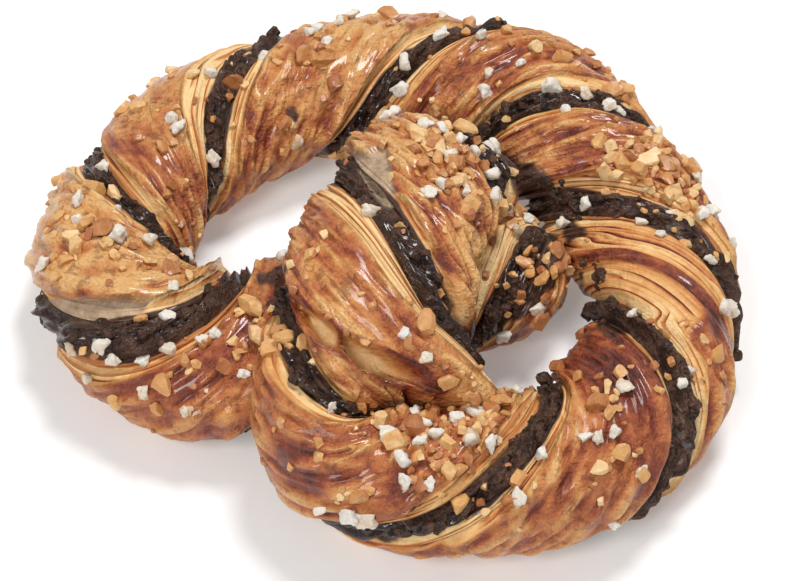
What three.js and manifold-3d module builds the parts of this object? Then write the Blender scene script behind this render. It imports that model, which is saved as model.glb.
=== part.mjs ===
// A puff pastry pretzel: two strips of laminated pastry with a chocolate and nut filling between them,
// twisted into one rope, laid as a pretzel and sprinkled with chopped nuts and pearl sugar.
// Millimetres, +Z up. The origin is on the table, under the middle of the pretzel.
import * as THREE from "three";
import { mergeVertices } from "three/addons/utils/BufferGeometryUtils.js";
import Module from "manifold-3d";

const wasm = await Module();
wasm.setup();

// Driving dimensions
const ROPE_RADIUS = 16;
const FILLING_HALF_AT_AXIS = 1.6;
const FILLING_HALF_AT_RIM = 3.7;
const GROOVE_DEPTH = 0.6;
const GAP = 0.3;
const SEAT_GAP = 0.6;
const EDGE_DROP = 1.4;
const LEDGE_DEPTH = 0.6;
const LEDGE_DEGREES = 9;
const LEDGES_PER_EDGE = 2;
const LEDGE_LIP_SHARE = 0.1;
const CROWN_FACETS = 6;
const CROWN_SWELL = 0.5;
const SWELL_PACE = { long: 0.9, short: 2.4 };
const END_BLUNTNESS = 0.55;
const STEPS_PER_GUIDE = 4;
const GRAIN_LENGTH = { least: 3.2, most: 5.2 };
const GRAIN_RISE_SHARE = 0.1;
const GRAIN_MARGIN_SHARE = 0.75;
const NUT_SHARE = { length: 1, width: 0.8, height: 0.7 };
const SUGAR_SHARE = 0.84;
const PINCH_SHARE = 0.66;
const MIDDLE = { x: 1.31, y: -4.02 };

// The rope's guide points, from the end tucked under the crossing to the end that lies on top. The rope is
// a smooth curve drawn by them. wide and tall scale its section, flare widens its right side alone, turn is
// how far the strips have twisted (degrees) and gape is how wide the filling shows.
const GUIDES = [
  { at: [34, 5.6, 14], wide: 0.75, tall: 0.7, flare: 0, turn: 471, gape: 1.6 },
  { at: [13, -3.4, 12.5], wide: 0.88, tall: 0.74, flare: 0, turn: 349, gape: 1.4 },
  { at: [-13.5, -16, 10.5], wide: 1.1, tall: 0.74, flare: 0.35, turn: 222, gape: 1.1 },
  { at: [-38, -22.3, 12], wide: 1.14, tall: 0.8, flare: 0.3, turn: 116, gape: 1.4 },
  { at: [-53.5, -15, 13], wide: 1.06, tall: 0.83, flare: 0.1, turn: 33, gape: 1.4 },
  { at: [-61, 3, 13], wide: 1, tall: 0.84, flare: 0, turn: -17, gape: 1.1 },
  { at: [-57, 19.8, 13], wide: 1, tall: 0.84, flare: 0, turn: -120, gape: 1.1 },
  { at: [-46.3, 40.3, 13], wide: 1.05, tall: 0.84, flare: 0, turn: -235, gape: 0.9 },
  { at: [-25.5, 53, 13], wide: 1.05, tall: 0.84, flare: 0, turn: -308, gape: 0.9 },
  { at: [2.5, 60.3, 13], wide: 1.02, tall: 0.84, flare: 0, turn: -423, gape: 1.2 },
  { at: [26.5, 56, 13], wide: 1, tall: 0.84, flare: 0, turn: -534, gape: 1.2 },
  { at: [40.5, 42.3, 13], wide: 1, tall: 0.84, flare: 0.4, turn: -635, gape: 1.4 },
  { at: [50.5, 23, 13], wide: 1, tall: 0.84, flare: 0.48, turn: -745, gape: 1.6 },
  { at: [58.6, -3, 13], wide: 1.02, tall: 0.84, flare: -0.15, turn: -866, gape: 1.2 },
  { at: [53.3, -27, 13], wide: 1.02, tall: 0.84, flare: 0, turn: -1000, gape: 1.2 },
  { at: [43, -45, 13], wide: 1.02, tall: 0.84, flare: 0.15, turn: -1100, gape: 1 },
  { at: [24, -50.6, 13], wide: 1, tall: 0.84, flare: 0, turn: -1189, gape: 1 },
  { at: [5, -53, 13], wide: 0.96, tall: 0.85, flare: 0, turn: -1253, gape: 1 },
  { at: [-11.8, -49.2, 15.5], wide: 0.84, tall: 0.88, flare: 0, turn: -1306, gape: 1.1 },
  { at: [-14.8, -36.6, 21], wide: 0.86, tall: 0.88, flare: 0, turn: -1354, gape: 1.2 },
  { at: [-7.3, -23.3, 28], wide: 1.05, tall: 0.84, flare: 0.8, turn: -1424, gape: 1 },
  { at: [-2.5, -10.5, 33.5], wide: 1.16, tall: 0.8, flare: -0.2, turn: -1519, gape: 1.2 },
  { at: [10.5, 25, 27.5], wide: 1.1, tall: 0.72, flare: 0.25, turn: -1690, gape: 1.9 },
];
const LAST_GUIDE = GUIDES.length - 1;

// Past the guide named here, the dough near one spot of the rope is drawn out sideways, like the tip of a leaf.
const LEAF_TIP = { past: 18.5, at: [13.1, -41.7, 30], shift: [11, -3, -3], reach: 13, taper: 1.3 };

// The rope is made in two lengths that meet at JOIN_GUIDE. The second one lies on two stretches of the first.
const JOIN_GUIDE = 17;
const STRETCHES_BELOW = [{ from: 0, to: 7 }, { from: 13, to: 16.75 }];

// Where the toppings lie: stretches of the rope between two guides, with how many grains each has
const SPRINKLES = [
  { from: 0.2, to: 0.9, grains: 10 },
  { from: 2.9, to: 5.0, grains: 20 },
  { from: 5.0, to: 7.0, grains: 14 },
  { from: 7.0, to: 9.0, grains: 14 },
  { from: 9.0, to: 11.0, grains: 22 },
  { from: 11.0, to: 13.0, grains: 18 },
  { from: 13.0, to: 15.0, grains: 16 },
  { from: 15.0, to: 17.8, grains: 22 },
  { from: 18.2, to: 20.4, grains: 8 },
  { from: 20.6, to: 21.9, grains: 20 },
];
const SPRINKLE_SPREAD_DEGREES = 74;
// Steps of evenly spreading sequences: along the rope, across it, and for a grain's size and turn
const EVEN_STEPS = { along: 0.7549, across: 0.5698, size: 0.618, turn: 0.4142 };

const EDGE_ANGLE = Math.asin(FILLING_HALF_AT_RIM / ROPE_RADIUS);
const EDGE_RADIUS = ROPE_RADIUS - EDGE_DROP;
const END_STEPS = [0.03, 0.1, 0.2, 0.34];
const END_LENGTH = END_STEPS[END_STEPS.length - 1];
const TANGENT_STEP = 0.001;
const PINCH_STEP = 0.1;
const SEAT_SIDES = 24;
const MERGE_DISTANCE = 1e-4;
// How far apart along the rope two stretches are, in guides, before one can lie on the other
const STRETCH_APART = 2.5;
const STRETCH_STEP = 0.25;
const STRETCH_REACH = 1.1 * ROPE_RADIUS;

const radians = THREE.MathUtils.degToRad;
const evenly = (count, step) => (0.5 + count * step) % 1;

// The value of a smooth curve drawn by the guides (a uniform cubic B-spline that starts and ends on them).
function blend(valueOf, along) {
  const span = Math.min(Math.max(Math.floor(along), 0), LAST_GUIDE - 1);
  const f = along - span;
  const guide = (index) => {
    if (index < 0) return 2 * valueOf(GUIDES[0]) - valueOf(GUIDES[1]);
    if (index > LAST_GUIDE) return 2 * valueOf(GUIDES[LAST_GUIDE]) - valueOf(GUIDES[LAST_GUIDE - 1]);
    return valueOf(GUIDES[index]);
  };
  const before = (1 - f) ** 3 * guide(span - 1);
  const near = (3 * f ** 3 - 6 * f ** 2 + 4) * guide(span);
  const next = (-3 * f ** 3 + 3 * f ** 2 + 3 * f + 1) * guide(span + 1);
  const after = f ** 3 * guide(span + 2);
  return (before + near + next + after) / 6;
}

function axisPoint(along) {
  const x = blend((guide) => guide.at[0], along) + MIDDLE.x;
  const y = blend((guide) => guide.at[1], along) + MIDDLE.y;
  const z = blend((guide) => guide.at[2], along);
  return new THREE.Vector3(x, y, z);
}

// The rope's frame at a place along it: its centre, its side and up directions and its section.
function frameAt(along) {
  const ahead = axisPoint(along + TANGENT_STEP).sub(axisPoint(along - TANGENT_STEP)).normalize();
  const side = new THREE.Vector3(0, 0, 1).cross(ahead).normalize();
  const up = new THREE.Vector3().crossVectors(ahead, side);
  const fromEnd = Math.min(along, LAST_GUIDE - along, END_LENGTH) / END_LENGTH;
  const closing = END_BLUNTNESS + (1 - END_BLUNTNESS) * Math.sqrt(1 - (1 - fromEnd) ** 2);
  return {
    along,
    centre: axisPoint(along),
    side: side.multiplyScalar(closing * blend((guide) => guide.wide, along)),
    up: up.multiplyScalar(closing * blend((guide) => guide.tall, along)),
    flare: blend((guide) => guide.flare, along),
    turn: radians(blend((guide) => guide.turn, along)),
    edge: EDGE_ANGLE * blend((guide) => guide.gape, along),
  };
}

function drawOutTip(point) {
  const away = point.distanceTo(new THREE.Vector3(...LEAF_TIP.at)) / LEAF_TIP.reach;
  const weight = Math.max(1 - away, 0) ** LEAF_TIP.taper;
  point.addScaledVector(new THREE.Vector3(...LEAF_TIP.shift), weight);
}

// A section point, x along the filling and y across it, as a point on the rope. The table flattens the rope.
function place(frame, x, y) {
  const cos = Math.cos(frame.turn);
  const sin = Math.sin(frame.turn);
  const point = frame.centre.clone();
  const sideways = x * cos - y * sin;
  const flared = sideways * (1 + (frame.flare * Math.max(-sideways, 0)) / ROPE_RADIUS);
  point.addScaledVector(frame.side, flared);
  point.addScaledVector(frame.up, x * sin + y * cos);
  point.z = Math.max(point.z, 0);
  if (frame.along > LEAF_TIP.past) drawOutTip(point);
  return point;
}

const polar = (angle, radius) => [radius * Math.cos(angle), radius * Math.sin(angle)];

// A strip's section: a crown, and two cut edges where the pastry's layers show as ledges that step down to the
// filling.
function stripProfile(frame) {
  const ledge = radians(LEDGE_DEGREES);
  const shoulder = frame.edge + LEDGES_PER_EDGE * ledge;
  const waves = Math.sin(SWELL_PACE.short * frame.along) * Math.sin(SWELL_PACE.long * frame.along + 1);
  const rightEdge = [polar(frame.edge, EDGE_RADIUS)];
  for (let count = 1; count <= LEDGES_PER_EDGE; count++) {
    const angle = frame.edge + count * ledge;
    const lip = EDGE_RADIUS + (EDGE_DROP * count) / LEDGES_PER_EDGE;
    rightEdge.push(polar(angle - LEDGE_LIP_SHARE * ledge, lip));
    rightEdge.push(polar(angle, lip - LEDGE_DEPTH));
  }
  const crown = [];
  for (let count = 1; count < CROWN_FACETS; count++) {
    const share = count / CROWN_FACETS;
    const angle = shoulder + share * (Math.PI - 2 * shoulder);
    crown.push(polar(angle, ROPE_RADIUS + CROWN_SWELL * waves * Math.sin(Math.PI * share)));
  }
  const leftEdge = rightEdge.map(([x, y]) => [-x, y]).reverse();
  return [...rightEdge, ...crown, ...leftEdge, [0, FILLING_HALF_AT_AXIS]];
}

function turnedOver(profile) {
  return profile.map(([x, y]) => [-x, -y]);
}

// The filling's section: thin at the axis and thicker at the rims, where it shows as a shallow groove.
function fillingProfile(frame) {
  const [rimX, edgeY] = polar(frame.edge, EDGE_RADIUS);
  const middle = FILLING_HALF_AT_AXIS - GAP;
  const rimY = edgeY - GAP;
  const half = [[0, -middle], [rimX, -rimY], [rimX - GROOVE_DEPTH, 0], [rimX, rimY]];
  return [...half, ...turnedOver(half)];
}

function seatProfile() {
  const radius = ROPE_RADIUS + CROWN_SWELL + SEAT_GAP;
  const corner = (count) => polar((count / SEAT_SIDES) * 2 * Math.PI, radius);
  return Array.from({ length: SEAT_SIDES }, (_, count) => corner(count));
}

// The places along the rope where its sections stand, closer together at a free end.
function stepsBetween(from, to) {
  const inner = [];
  for (let count = from * STEPS_PER_GUIDE; count <= to * STEPS_PER_GUIDE; count++) {
    inner.push(count / STEPS_PER_GUIDE);
  }
  const steps = new Set(inner.filter((along) => along > END_LENGTH && along < LAST_GUIDE - END_LENGTH));
  if (from === 0) [0, ...END_STEPS].forEach((along) => steps.add(along));
  if (to === LAST_GUIDE) [0, ...END_STEPS].forEach((along) => steps.add(LAST_GUIDE - along));
  return [...steps].sort((a, b) => a - b);
}

// True where a patch between two sections is split by the diagonal from its first column to its next. A patch
// that runs outwards from the axis is split the same way on a strip and on the filling that lies against it,
// so the two stay parallel. Any other patch is split along its shorter diagonal.
function splitsForward(rings, profiles, row, column, next) {
  const inner = Math.hypot(...profiles[row][column]);
  const outer = Math.hypot(...profiles[row][next]);
  if (inner < 0.5 * outer) return true;
  if (outer < 0.5 * inner) return false;
  const forward = rings[row][column].distanceTo(rings[row + 1][next]);
  const backward = rings[row][next].distanceTo(rings[row + 1][column]);
  return forward < backward;
}

// A closed body through the sections.
function loft(steps, profileOf) {
  const frames = steps.map(frameAt);
  const profiles = frames.map(profileOf);
  const rings = profiles.map((profile, row) => profile.map(([x, y]) => place(frames[row], x, y)));
  const size = rings[0].length;
  const triangles = [];
  for (let row = 0; row + 1 < rings.length; row++) {
    for (let column = 0; column < size; column++) {
      const next = (column + 1) % size;
      const a = row * size + column;
      const b = row * size + next;
      const c = b + size;
      const d = a + size;
      if (splitsForward(rings, profiles, row, column, next)) triangles.push(a, b, c, a, c, d);
      else triangles.push(a, b, d, b, c, d);
    }
  }
  const last = (rings.length - 1) * size;
  const flat = (profile) => profile.map(([x, y]) => new THREE.Vector2(x, y));
  for (const [a, b, c] of THREE.ShapeUtils.triangulateShape(flat(profiles[0]), [])) triangles.push(c, b, a);
  for (const [a, b, c] of THREE.ShapeUtils.triangulateShape(flat(profiles.at(-1)), [])) {
    triangles.push(last + a, last + b, last + c);
  }
  const geometry = new THREE.BufferGeometry().setFromPoints(rings.flat());
  return geometry.setIndex(triangles);
}

function solidOf(geometry) {
  const bare = new THREE.BufferGeometry();
  bare.setAttribute("position", geometry.getAttribute("position"));
  bare.setIndex(geometry.getIndex());
  const merged = mergeVertices(bare, MERGE_DISTANCE);
  const vertProperties = new Float32Array(merged.getAttribute("position").array);
  const triVerts = new Uint32Array(merged.getIndex().array);
  return new wasm.Manifold(new wasm.Mesh({ numProp: 3, vertProperties, triVerts }));
}

function geometryOf(solid) {
  const { vertProperties, triVerts } = solid.getMesh();
  const geometry = new THREE.BufferGeometry();
  geometry.setAttribute("position", new THREE.BufferAttribute(vertProperties, 3));
  geometry.setIndex(new THREE.BufferAttribute(triVerts, 1));
  geometry.computeVertexNormals();
  return geometry;
}

function largestBody(solid) {
  return solid.decompose().reduce((most, body) => (body.volume() > most.volume() ? body : most));
}

// One of the rope's three pieces. The upper length is cut to sit on the stretches that lie under it.
const seats = STRETCHES_BELOW.map(({ from, to }) => solidOf(loft(stepsBetween(from, to), seatProfile)));
function ropePiece(profileOf) {
  const lower = solidOf(loft(stepsBetween(0, JOIN_GUIDE), profileOf));
  let upper = solidOf(loft(stepsBetween(JOIN_GUIDE, LAST_GUIDE), profileOf));
  for (const seat of seats) upper = largestBody(upper.subtract(seat));
  return largestBody(lower.add(upper));
}

// On the inside of a tight bend the strips pinch the filling.
const stripA = ropePiece(stripProfile);
const stripB = ropePiece((frame) => turnedOver(stripProfile(frame)));
const pieces = {
  pastry_strip_a: stripA,
  pastry_strip_b: stripB,
  chocolate_filling: largestBody(ropePiece(fillingProfile).subtract(stripA).subtract(stripB)),
};

// A chopped nut is an angular chip, a grain of pearl sugar a round lump.
function grainGeometry(kind, length) {
  if (kind === "sugar") return new THREE.IcosahedronGeometry((SUGAR_SHARE * length) / 2);
  return new THREE.OctahedronGeometry(length / 2).scale(NUT_SHARE.length, NUT_SHARE.width, NUT_SHARE.height);
}

// True where a grain would touch another stretch of the rope.
function touchesAnotherStretch(point, along, length) {
  for (let other = 0; other <= LAST_GUIDE; other += STRETCH_STEP) {
    const isAnother = Math.abs(other - along) > STRETCH_APART;
    if (isAnother && axisPoint(other).distanceTo(point) < STRETCH_REACH + length) return true;
  }
  return false;
}

// True on the inside of a bend, where the rope's surface is drawn together and a grain has no room.
function isPinched(along, angle) {
  const ends = [along - PINCH_STEP, along + PINCH_STEP];
  const surface = ends.map((at) => {
    const frame = frameAt(at);
    const local = angle - frame.turn;
    return place(frame, ...polar(local, ROPE_RADIUS));
  });
  const onAxis = axisPoint(ends[0]).distanceTo(axisPoint(ends[1]));
  return surface[0].distanceTo(surface[1]) < PINCH_SHARE * onAxis;
}

// A grain lies on the crown of a strip, clear of its edges, or in the middle of a groove on the filling.
function addGrain(count, along) {
  const frame = frameAt(along);
  const lean = radians(SPRINKLE_SPREAD_DEGREES) * (2 * evenly(count, EVEN_STEPS.across) - 1);
  const wanted = Math.PI / 2 - lean - frame.turn;
  const kind = count % 3 === 2 ? "sugar" : "nut";
  const spread = GRAIN_LENGTH.most - GRAIN_LENGTH.least;
  let length = GRAIN_LENGTH.least + spread * evenly(count, EVEN_STEPS.size);
  const half = wanted - Math.floor(wanted / Math.PI) * Math.PI;
  const onFirstStrip = Math.floor(wanted / Math.PI) % 2 === 0;
  const inGroove = Math.min(half, Math.PI - half) < frame.edge;
  const clear = frame.edge + radians(LEDGE_DEGREES) + (GRAIN_MARGIN_SHARE * length) / ROPE_RADIUS;
  let angle = THREE.MathUtils.clamp(half, clear, Math.PI - clear) + wanted - half;
  let radius = ROPE_RADIUS;
  let node = onFirstStrip ? "pastry_strip_a" : "pastry_strip_b";
  if (inGroove) {
    angle = Math.round(wanted / Math.PI) * Math.PI;
    radius = EDGE_RADIUS - GROOVE_DEPTH;
    node = "chocolate_filling";
    length = Math.min(length, ROPE_RADIUS * frame.edge);
  }
  const [x, y] = polar(angle, radius + GRAIN_RISE_SHARE * length);
  const point = place(frame, x, y);
  if (touchesAnotherStretch(point, along, length) || isPinched(along, angle + frame.turn)) return;
  const grain = grainGeometry(kind, length);
  const spin = 2 * Math.PI * evenly(count, EVEN_STEPS.turn);
  grain.rotateX(spin).rotateZ(2 * spin).translate(point.x, point.y, point.z);
  pieces[node] = pieces[node].add(solidOf(grain));
}

let grainCount = 0;
for (const { from, to, grains } of SPRINKLES) {
  for (let count = 0; count < grains; count++) {
    addGrain(grainCount, from + (to - from) * evenly(grainCount, EVEN_STEPS.along));
    grainCount++;
  }
}

const materials = {
  pastry_strip_a: new THREE.MeshStandardMaterial({ color: 0xc07a3c, roughness: 0.45, metalness: 0 }),
  pastry_strip_b: new THREE.MeshStandardMaterial({ color: 0xb87236, roughness: 0.45, metalness: 0 }),
  chocolate_filling: new THREE.MeshStandardMaterial({ color: 0x3a241e, roughness: 0.4, metalness: 0 }),
};

const pretzel = new THREE.Group();
for (const [name, solid] of Object.entries(pieces)) {
  const mesh = new THREE.Mesh(geometryOf(largestBody(solid)), materials[name]);
  mesh.name = name;
  pretzel.add(mesh);
}

export default pretzel;
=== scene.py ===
# %% [markdown]
# This lesson dresses a baked puff pastry pretzel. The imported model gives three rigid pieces: two strips of
# layered pastry and the chocolate filling between them, twisted into one rope. They could simply be
# painted, but the real surface is all layers, wrinkles and crumbs, so each one is replaced by a finer piece
# that follows the same route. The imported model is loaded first, because everything else is placed in its
# frame.

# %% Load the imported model
import math

import bmesh
import bpy
import numpy as np
from mathutils import Matrix, Vector
from mathutils.bvhtree import BVHTree


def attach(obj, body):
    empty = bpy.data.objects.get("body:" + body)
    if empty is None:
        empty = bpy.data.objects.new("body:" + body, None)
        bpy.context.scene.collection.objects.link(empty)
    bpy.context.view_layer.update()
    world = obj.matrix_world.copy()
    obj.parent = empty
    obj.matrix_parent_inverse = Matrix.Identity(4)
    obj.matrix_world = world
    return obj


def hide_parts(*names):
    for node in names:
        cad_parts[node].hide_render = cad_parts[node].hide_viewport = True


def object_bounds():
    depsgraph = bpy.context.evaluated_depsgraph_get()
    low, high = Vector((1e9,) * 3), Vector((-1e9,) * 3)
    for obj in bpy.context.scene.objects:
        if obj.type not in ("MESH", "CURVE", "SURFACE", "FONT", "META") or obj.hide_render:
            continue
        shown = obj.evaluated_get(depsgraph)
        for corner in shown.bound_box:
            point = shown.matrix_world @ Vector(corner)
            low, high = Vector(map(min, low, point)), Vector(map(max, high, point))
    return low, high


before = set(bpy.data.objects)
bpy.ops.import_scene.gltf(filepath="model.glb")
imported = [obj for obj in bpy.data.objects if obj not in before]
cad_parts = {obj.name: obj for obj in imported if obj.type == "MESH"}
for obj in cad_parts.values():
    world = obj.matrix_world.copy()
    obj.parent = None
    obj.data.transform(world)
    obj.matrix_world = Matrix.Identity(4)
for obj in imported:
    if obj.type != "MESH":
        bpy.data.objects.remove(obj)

cad_low, cad_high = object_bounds()
MM = 0.001
print("packed pieces:", sorted(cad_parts))

# %% [markdown]
# The camera comes first, because the toppings are later dropped where the photograph shows them. A camera
# far away with a long lens looks at food much as a studio photographer does: the near side isn't swollen.
# The picture's frame is 809 by 581, and the camera looks down on the pretzel at about 50 degrees.

# %% Camera
PICTURE_WIDTH = 809
PICTURE_HEIGHT = 581
CAMERA_RISE = math.radians(50)
CAMERA_DISTANCE = 0.567
CAMERA_TARGET = Vector((0.00415, -0.00402, 0.010))
LENS = 120
SENSOR = 36
CLIP_START = 0.01

camera_data = bpy.data.cameras.new("camera")
camera_data.lens = LENS
camera_data.sensor_width = SENSOR
camera_data.clip_start = CLIP_START
camera = bpy.data.objects.new("camera", camera_data)
bpy.context.collection.objects.link(camera)
backwards = Vector((0, -math.cos(CAMERA_RISE), math.sin(CAMERA_RISE)))
camera.location = CAMERA_TARGET + backwards * CAMERA_DISTANCE
camera.rotation_mode = "QUATERNION"
camera.rotation_quaternion = (-backwards).to_track_quat("-Z", "Y")
bpy.context.scene.camera = camera


def sight_line(u, v):
    """The direction from the camera through a pixel of the picture."""
    across = (u - PICTURE_WIDTH / 2) / PICTURE_WIDTH * SENSOR / LENS
    down = (v - PICTURE_HEIGHT / 2) / PICTURE_WIDTH * SENSOR / LENS
    return (camera.rotation_quaternion @ Vector((across, -down, -1))).normalized()


print("camera at", [round(value, 3) for value in camera.location])

# %% [markdown]
# The rope's route is the same smooth curve that the solids follow: a uniform cubic B-spline drawn by guide
# points. Each guide also says how wide and tall the rope is there, how far its right side is flared, how
# far the strips have twisted and how wide the filling gapes. A Bézier curve object with a bevel could draw
# a plain tube, but it can't carry all these values, so NumPy works the curve out for thousands of places at
# once.

# %% The rope's guides
ROPE_RADIUS = 16.0
FILLING_HALF_AT_AXIS = 1.6
FILLING_HALF_AT_RIM = 3.7
EDGE_ANGLE = math.asin(FILLING_HALF_AT_RIM / ROPE_RADIUS)
END_BLUNTNESS = 0.55
END_LENGTH = 0.34
MIDDLE = (1.31, -4.02, 0)
# x, y, z, wide, tall, flare, turn in degrees, gape
GUIDES = np.array([
    (34, 5.6, 14, 0.75, 0.7, 0, 471, 1.6),
    (13, -3.4, 12.5, 0.88, 0.74, 0, 349, 1.4),
    (-13.5, -16, 10.5, 1.1, 0.74, 0.35, 222, 1.1),
    (-38, -22.3, 12, 1.14, 0.8, 0.3, 116, 1.4),
    (-53.5, -15, 13, 1.06, 0.83, 0.1, 33, 1.4),
    (-61, 3, 13, 1, 0.84, 0, -17, 1.1),
    (-57, 19.8, 13, 1, 0.84, 0, -120, 1.1),
    (-46.3, 40.3, 13, 1.05, 0.84, 0, -235, 0.9),
    (-25.5, 53, 13, 1.05, 0.84, 0, -308, 0.9),
    (2.5, 60.3, 13, 1.02, 0.84, 0, -423, 1.2),
    (26.5, 56, 13, 1, 0.84, 0, -534, 1.2),
    (40.5, 42.3, 13, 1, 0.84, 0.4, -635, 1.4),
    (50.5, 23, 13, 1, 0.84, 0.48, -745, 1.6),
    (58.6, -3, 13, 1.02, 0.84, -0.15, -866, 1.2),
    (53.3, -27, 13, 1.02, 0.84, 0, -1000, 1.2),
    (43, -45, 13, 1.02, 0.84, 0.15, -1100, 1),
    (24, -50.6, 13, 1, 0.84, 0, -1189, 1),
    (5, -53, 13, 0.96, 0.85, 0, -1253, 1),
    (-11.8, -49.2, 15.5, 0.84, 0.88, 0, -1306, 1.1),
    (-14.8, -36.6, 21, 0.86, 0.88, 0, -1354, 1.2),
    (-7.3, -23.3, 28, 1.05, 0.84, 0.8, -1424, 1),
    (-2.5, -10.5, 33.5, 1.16, 0.8, -0.2, -1519, 1.2),
    (10.5, 25, 27.5, 1.1, 0.72, 0.25, -1690, 1.9),
])
LAST_GUIDE = len(GUIDES) - 1
TANGENT_STEP = 0.001
FINE_STEPS = 4000


def spline(values, along):
    """A smooth curve drawn by the guides' values, at places along the rope counted in guides."""
    before_first = 2 * values[:1] - values[1:2]
    after_last = 2 * values[-1:] - values[-2:-1]
    drawn_by = np.concatenate([before_first, values, after_last])
    span = np.clip(np.floor(along).astype(int), 0, LAST_GUIDE - 1)
    f = (along - span)[:, None]
    total = (1 - f) ** 3 * drawn_by[span]
    total = total + (3 * f ** 3 - 6 * f ** 2 + 4) * drawn_by[span + 1]
    total = total + (-3 * f ** 3 + 3 * f ** 2 + 3 * f + 1) * drawn_by[span + 2]
    total = total + f ** 3 * drawn_by[span + 3]
    return total / 6


def unit(vectors):
    """The same directions with a length of one."""
    return vectors / np.linalg.norm(vectors, axis=-1, keepdims=True)


def rope_at(along):
    """The rope's centre, side and up directions and section values at places along it, in millimetres."""
    values = spline(GUIDES, along)
    places = GUIDES[:, :3]
    ahead = unit(spline(places, along + TANGENT_STEP) - spline(places, along - TANGENT_STEP))
    side = unit(np.cross((0, 0, 1), ahead))
    up = np.cross(ahead, side)
    from_end = np.clip(np.minimum(along, LAST_GUIDE - along) / END_LENGTH, 0, 1)
    closing = END_BLUNTNESS + (1 - END_BLUNTNESS) * np.sqrt(1 - (1 - from_end) ** 2)
    return {
        "along": along,
        "centre": values[:, :3] + MIDDLE,
        "ahead": ahead,
        "side": side * (closing * values[:, 3])[:, None],
        "up": up * (closing * values[:, 4])[:, None],
        "flare": values[:, 5:6],
        "turn": np.radians(values[:, 6:7]),
        "edge": EDGE_ANGLE * values[:, 7:8],
    }


FINE_PLACES = np.linspace(0, LAST_GUIDE, FINE_STEPS + 1)
fine_centres = rope_at(FINE_PLACES)["centre"]
fine_steps = np.linalg.norm(np.diff(fine_centres, axis=0), axis=1)
FINE_LENGTHS = np.concatenate([[0], np.cumsum(fine_steps)])
ROPE_LENGTH = FINE_LENGTHS[-1]
print("rope length in mm:", round(ROPE_LENGTH))

# %% [markdown]
# Baked dough is never even, so the shapes below are roughened with noise. Blender has a Displace modifier
# with procedural textures for that, but here the unevenness has to run along the strips, layer by layer,
# and so it is worked out in the strip's own coordinates. The noise is a seeded lattice of random values
# with smooth steps between them, so that every run gives the same pretzel.

# %% Seeded noise
LATTICE_SIZE = 64
CHIP_PITCH = 4.4
# A buried chip, in shares of the pitch: how far it lies off the middle, how far it reaches, and its form
CHIP_SHIFT = 0.4
CHIP_REACH = 0.42
REACH_SPREAD = 0.2
CHIP_NARROWING = 1.5
CHIP_SQUARENESS = 2.6
CHIP_RISE = 0.75
RISE_SPREAD = 0.6
CHIP_FLATNESS = 0.6
LATTICE = np.random.default_rng(11).uniform(-1, 1, (LATTICE_SIZE, LATTICE_SIZE, LATTICE_SIZE))


def soft_noise(x, y, z=0.0):
    """Smooth noise between -1 and 1, with one lattice step to each unit."""
    x, y, z = np.broadcast_arrays(x, y, z)
    cells = [np.floor(value).astype(int) for value in (x, y, z)]
    parts = [value - cell for value, cell in zip((x, y, z), cells)]
    eased = [part * part * (3 - 2 * part) for part in parts]
    total = np.zeros(x.shape)
    for corner in np.ndindex(2, 2, 2):
        weight = 1.0
        index = []
        for axis in range(3):
            weight = weight * (eased[axis] if corner[axis] else 1 - eased[axis])
            index.append((cells[axis] + corner[axis]) % LATTICE_SIZE)
        total += weight * LATTICE[tuple(index)]
    return total


def buried_chips(x, y, seed):
    """Height of chips under a skin, about CHIP_PITCH apart. x and y are in millimetres."""
    x, y = np.broadcast_arrays(x / CHIP_PITCH, y / CHIP_PITCH)
    cell_x, cell_y = np.floor(x).astype(int), np.floor(y).astype(int)
    height = np.zeros(x.shape)
    for step_x, step_y in np.ndindex(3, 3):
        column, row = cell_x + step_x - 1, cell_y + step_y - 1
        chance = [LATTICE[column % LATTICE_SIZE, row % LATTICE_SIZE, seed + layer] for layer in range(4)]
        aside = x - column - 0.5 - CHIP_SHIFT * chance[0]
        ahead = y - row - 0.5 - CHIP_SHIFT * chance[1]
        turn = math.pi * chance[2]
        u = aside * np.cos(turn) + ahead * np.sin(turn)
        v = ahead * np.cos(turn) - aside * np.sin(turn)
        reach = CHIP_REACH + REACH_SPREAD * chance[3]
        far = np.abs(u / reach) ** CHIP_SQUARENESS + np.abs(CHIP_NARROWING * v / reach) ** CHIP_SQUARENESS
        rise = CHIP_RISE + RISE_SPREAD * chance[3]
        height = np.maximum(height, rise * np.maximum(1 - far, 0) ** CHIP_FLATNESS)
    return height


def smooth_step(low, high, value):
    """0 up to low, 1 from high on, and a smooth step between them."""
    share = np.clip((value - low) / (high - low), 0, 1)
    return share * share * (3 - 2 * share)


# %% [markdown]
# A point of the rope's section goes to its place by the rope's frame: it is turned by the twist, flared,
# and pressed flat where it would sink into the table. Where the upper end lies over the lower strands the
# dough sagged on them in the oven, so points of the upper length that fall inside a lower strand are pushed
# out to its surface. A Shrinkwrap modifier could do this too, but it needs the lower strand as a separate
# object.

# %% Placing a section
UPPER_FROM = 17.2
STRETCHES_BELOW = [(0, 7), (13, 16.75)]
SEAT_RADIUS = 16.4
SEAT_PLACES = 160
# Past a guide, the dough near one spot is drawn out sideways, like the tip of a leaf
TIP_PAST = 18.5
TIP_AT = np.array((13.1, -41.7, 30))
TIP_SHIFT = np.array((11, -3, -3))
TIP_REACH = 13
TIP_TAPER = 1.3


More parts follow.
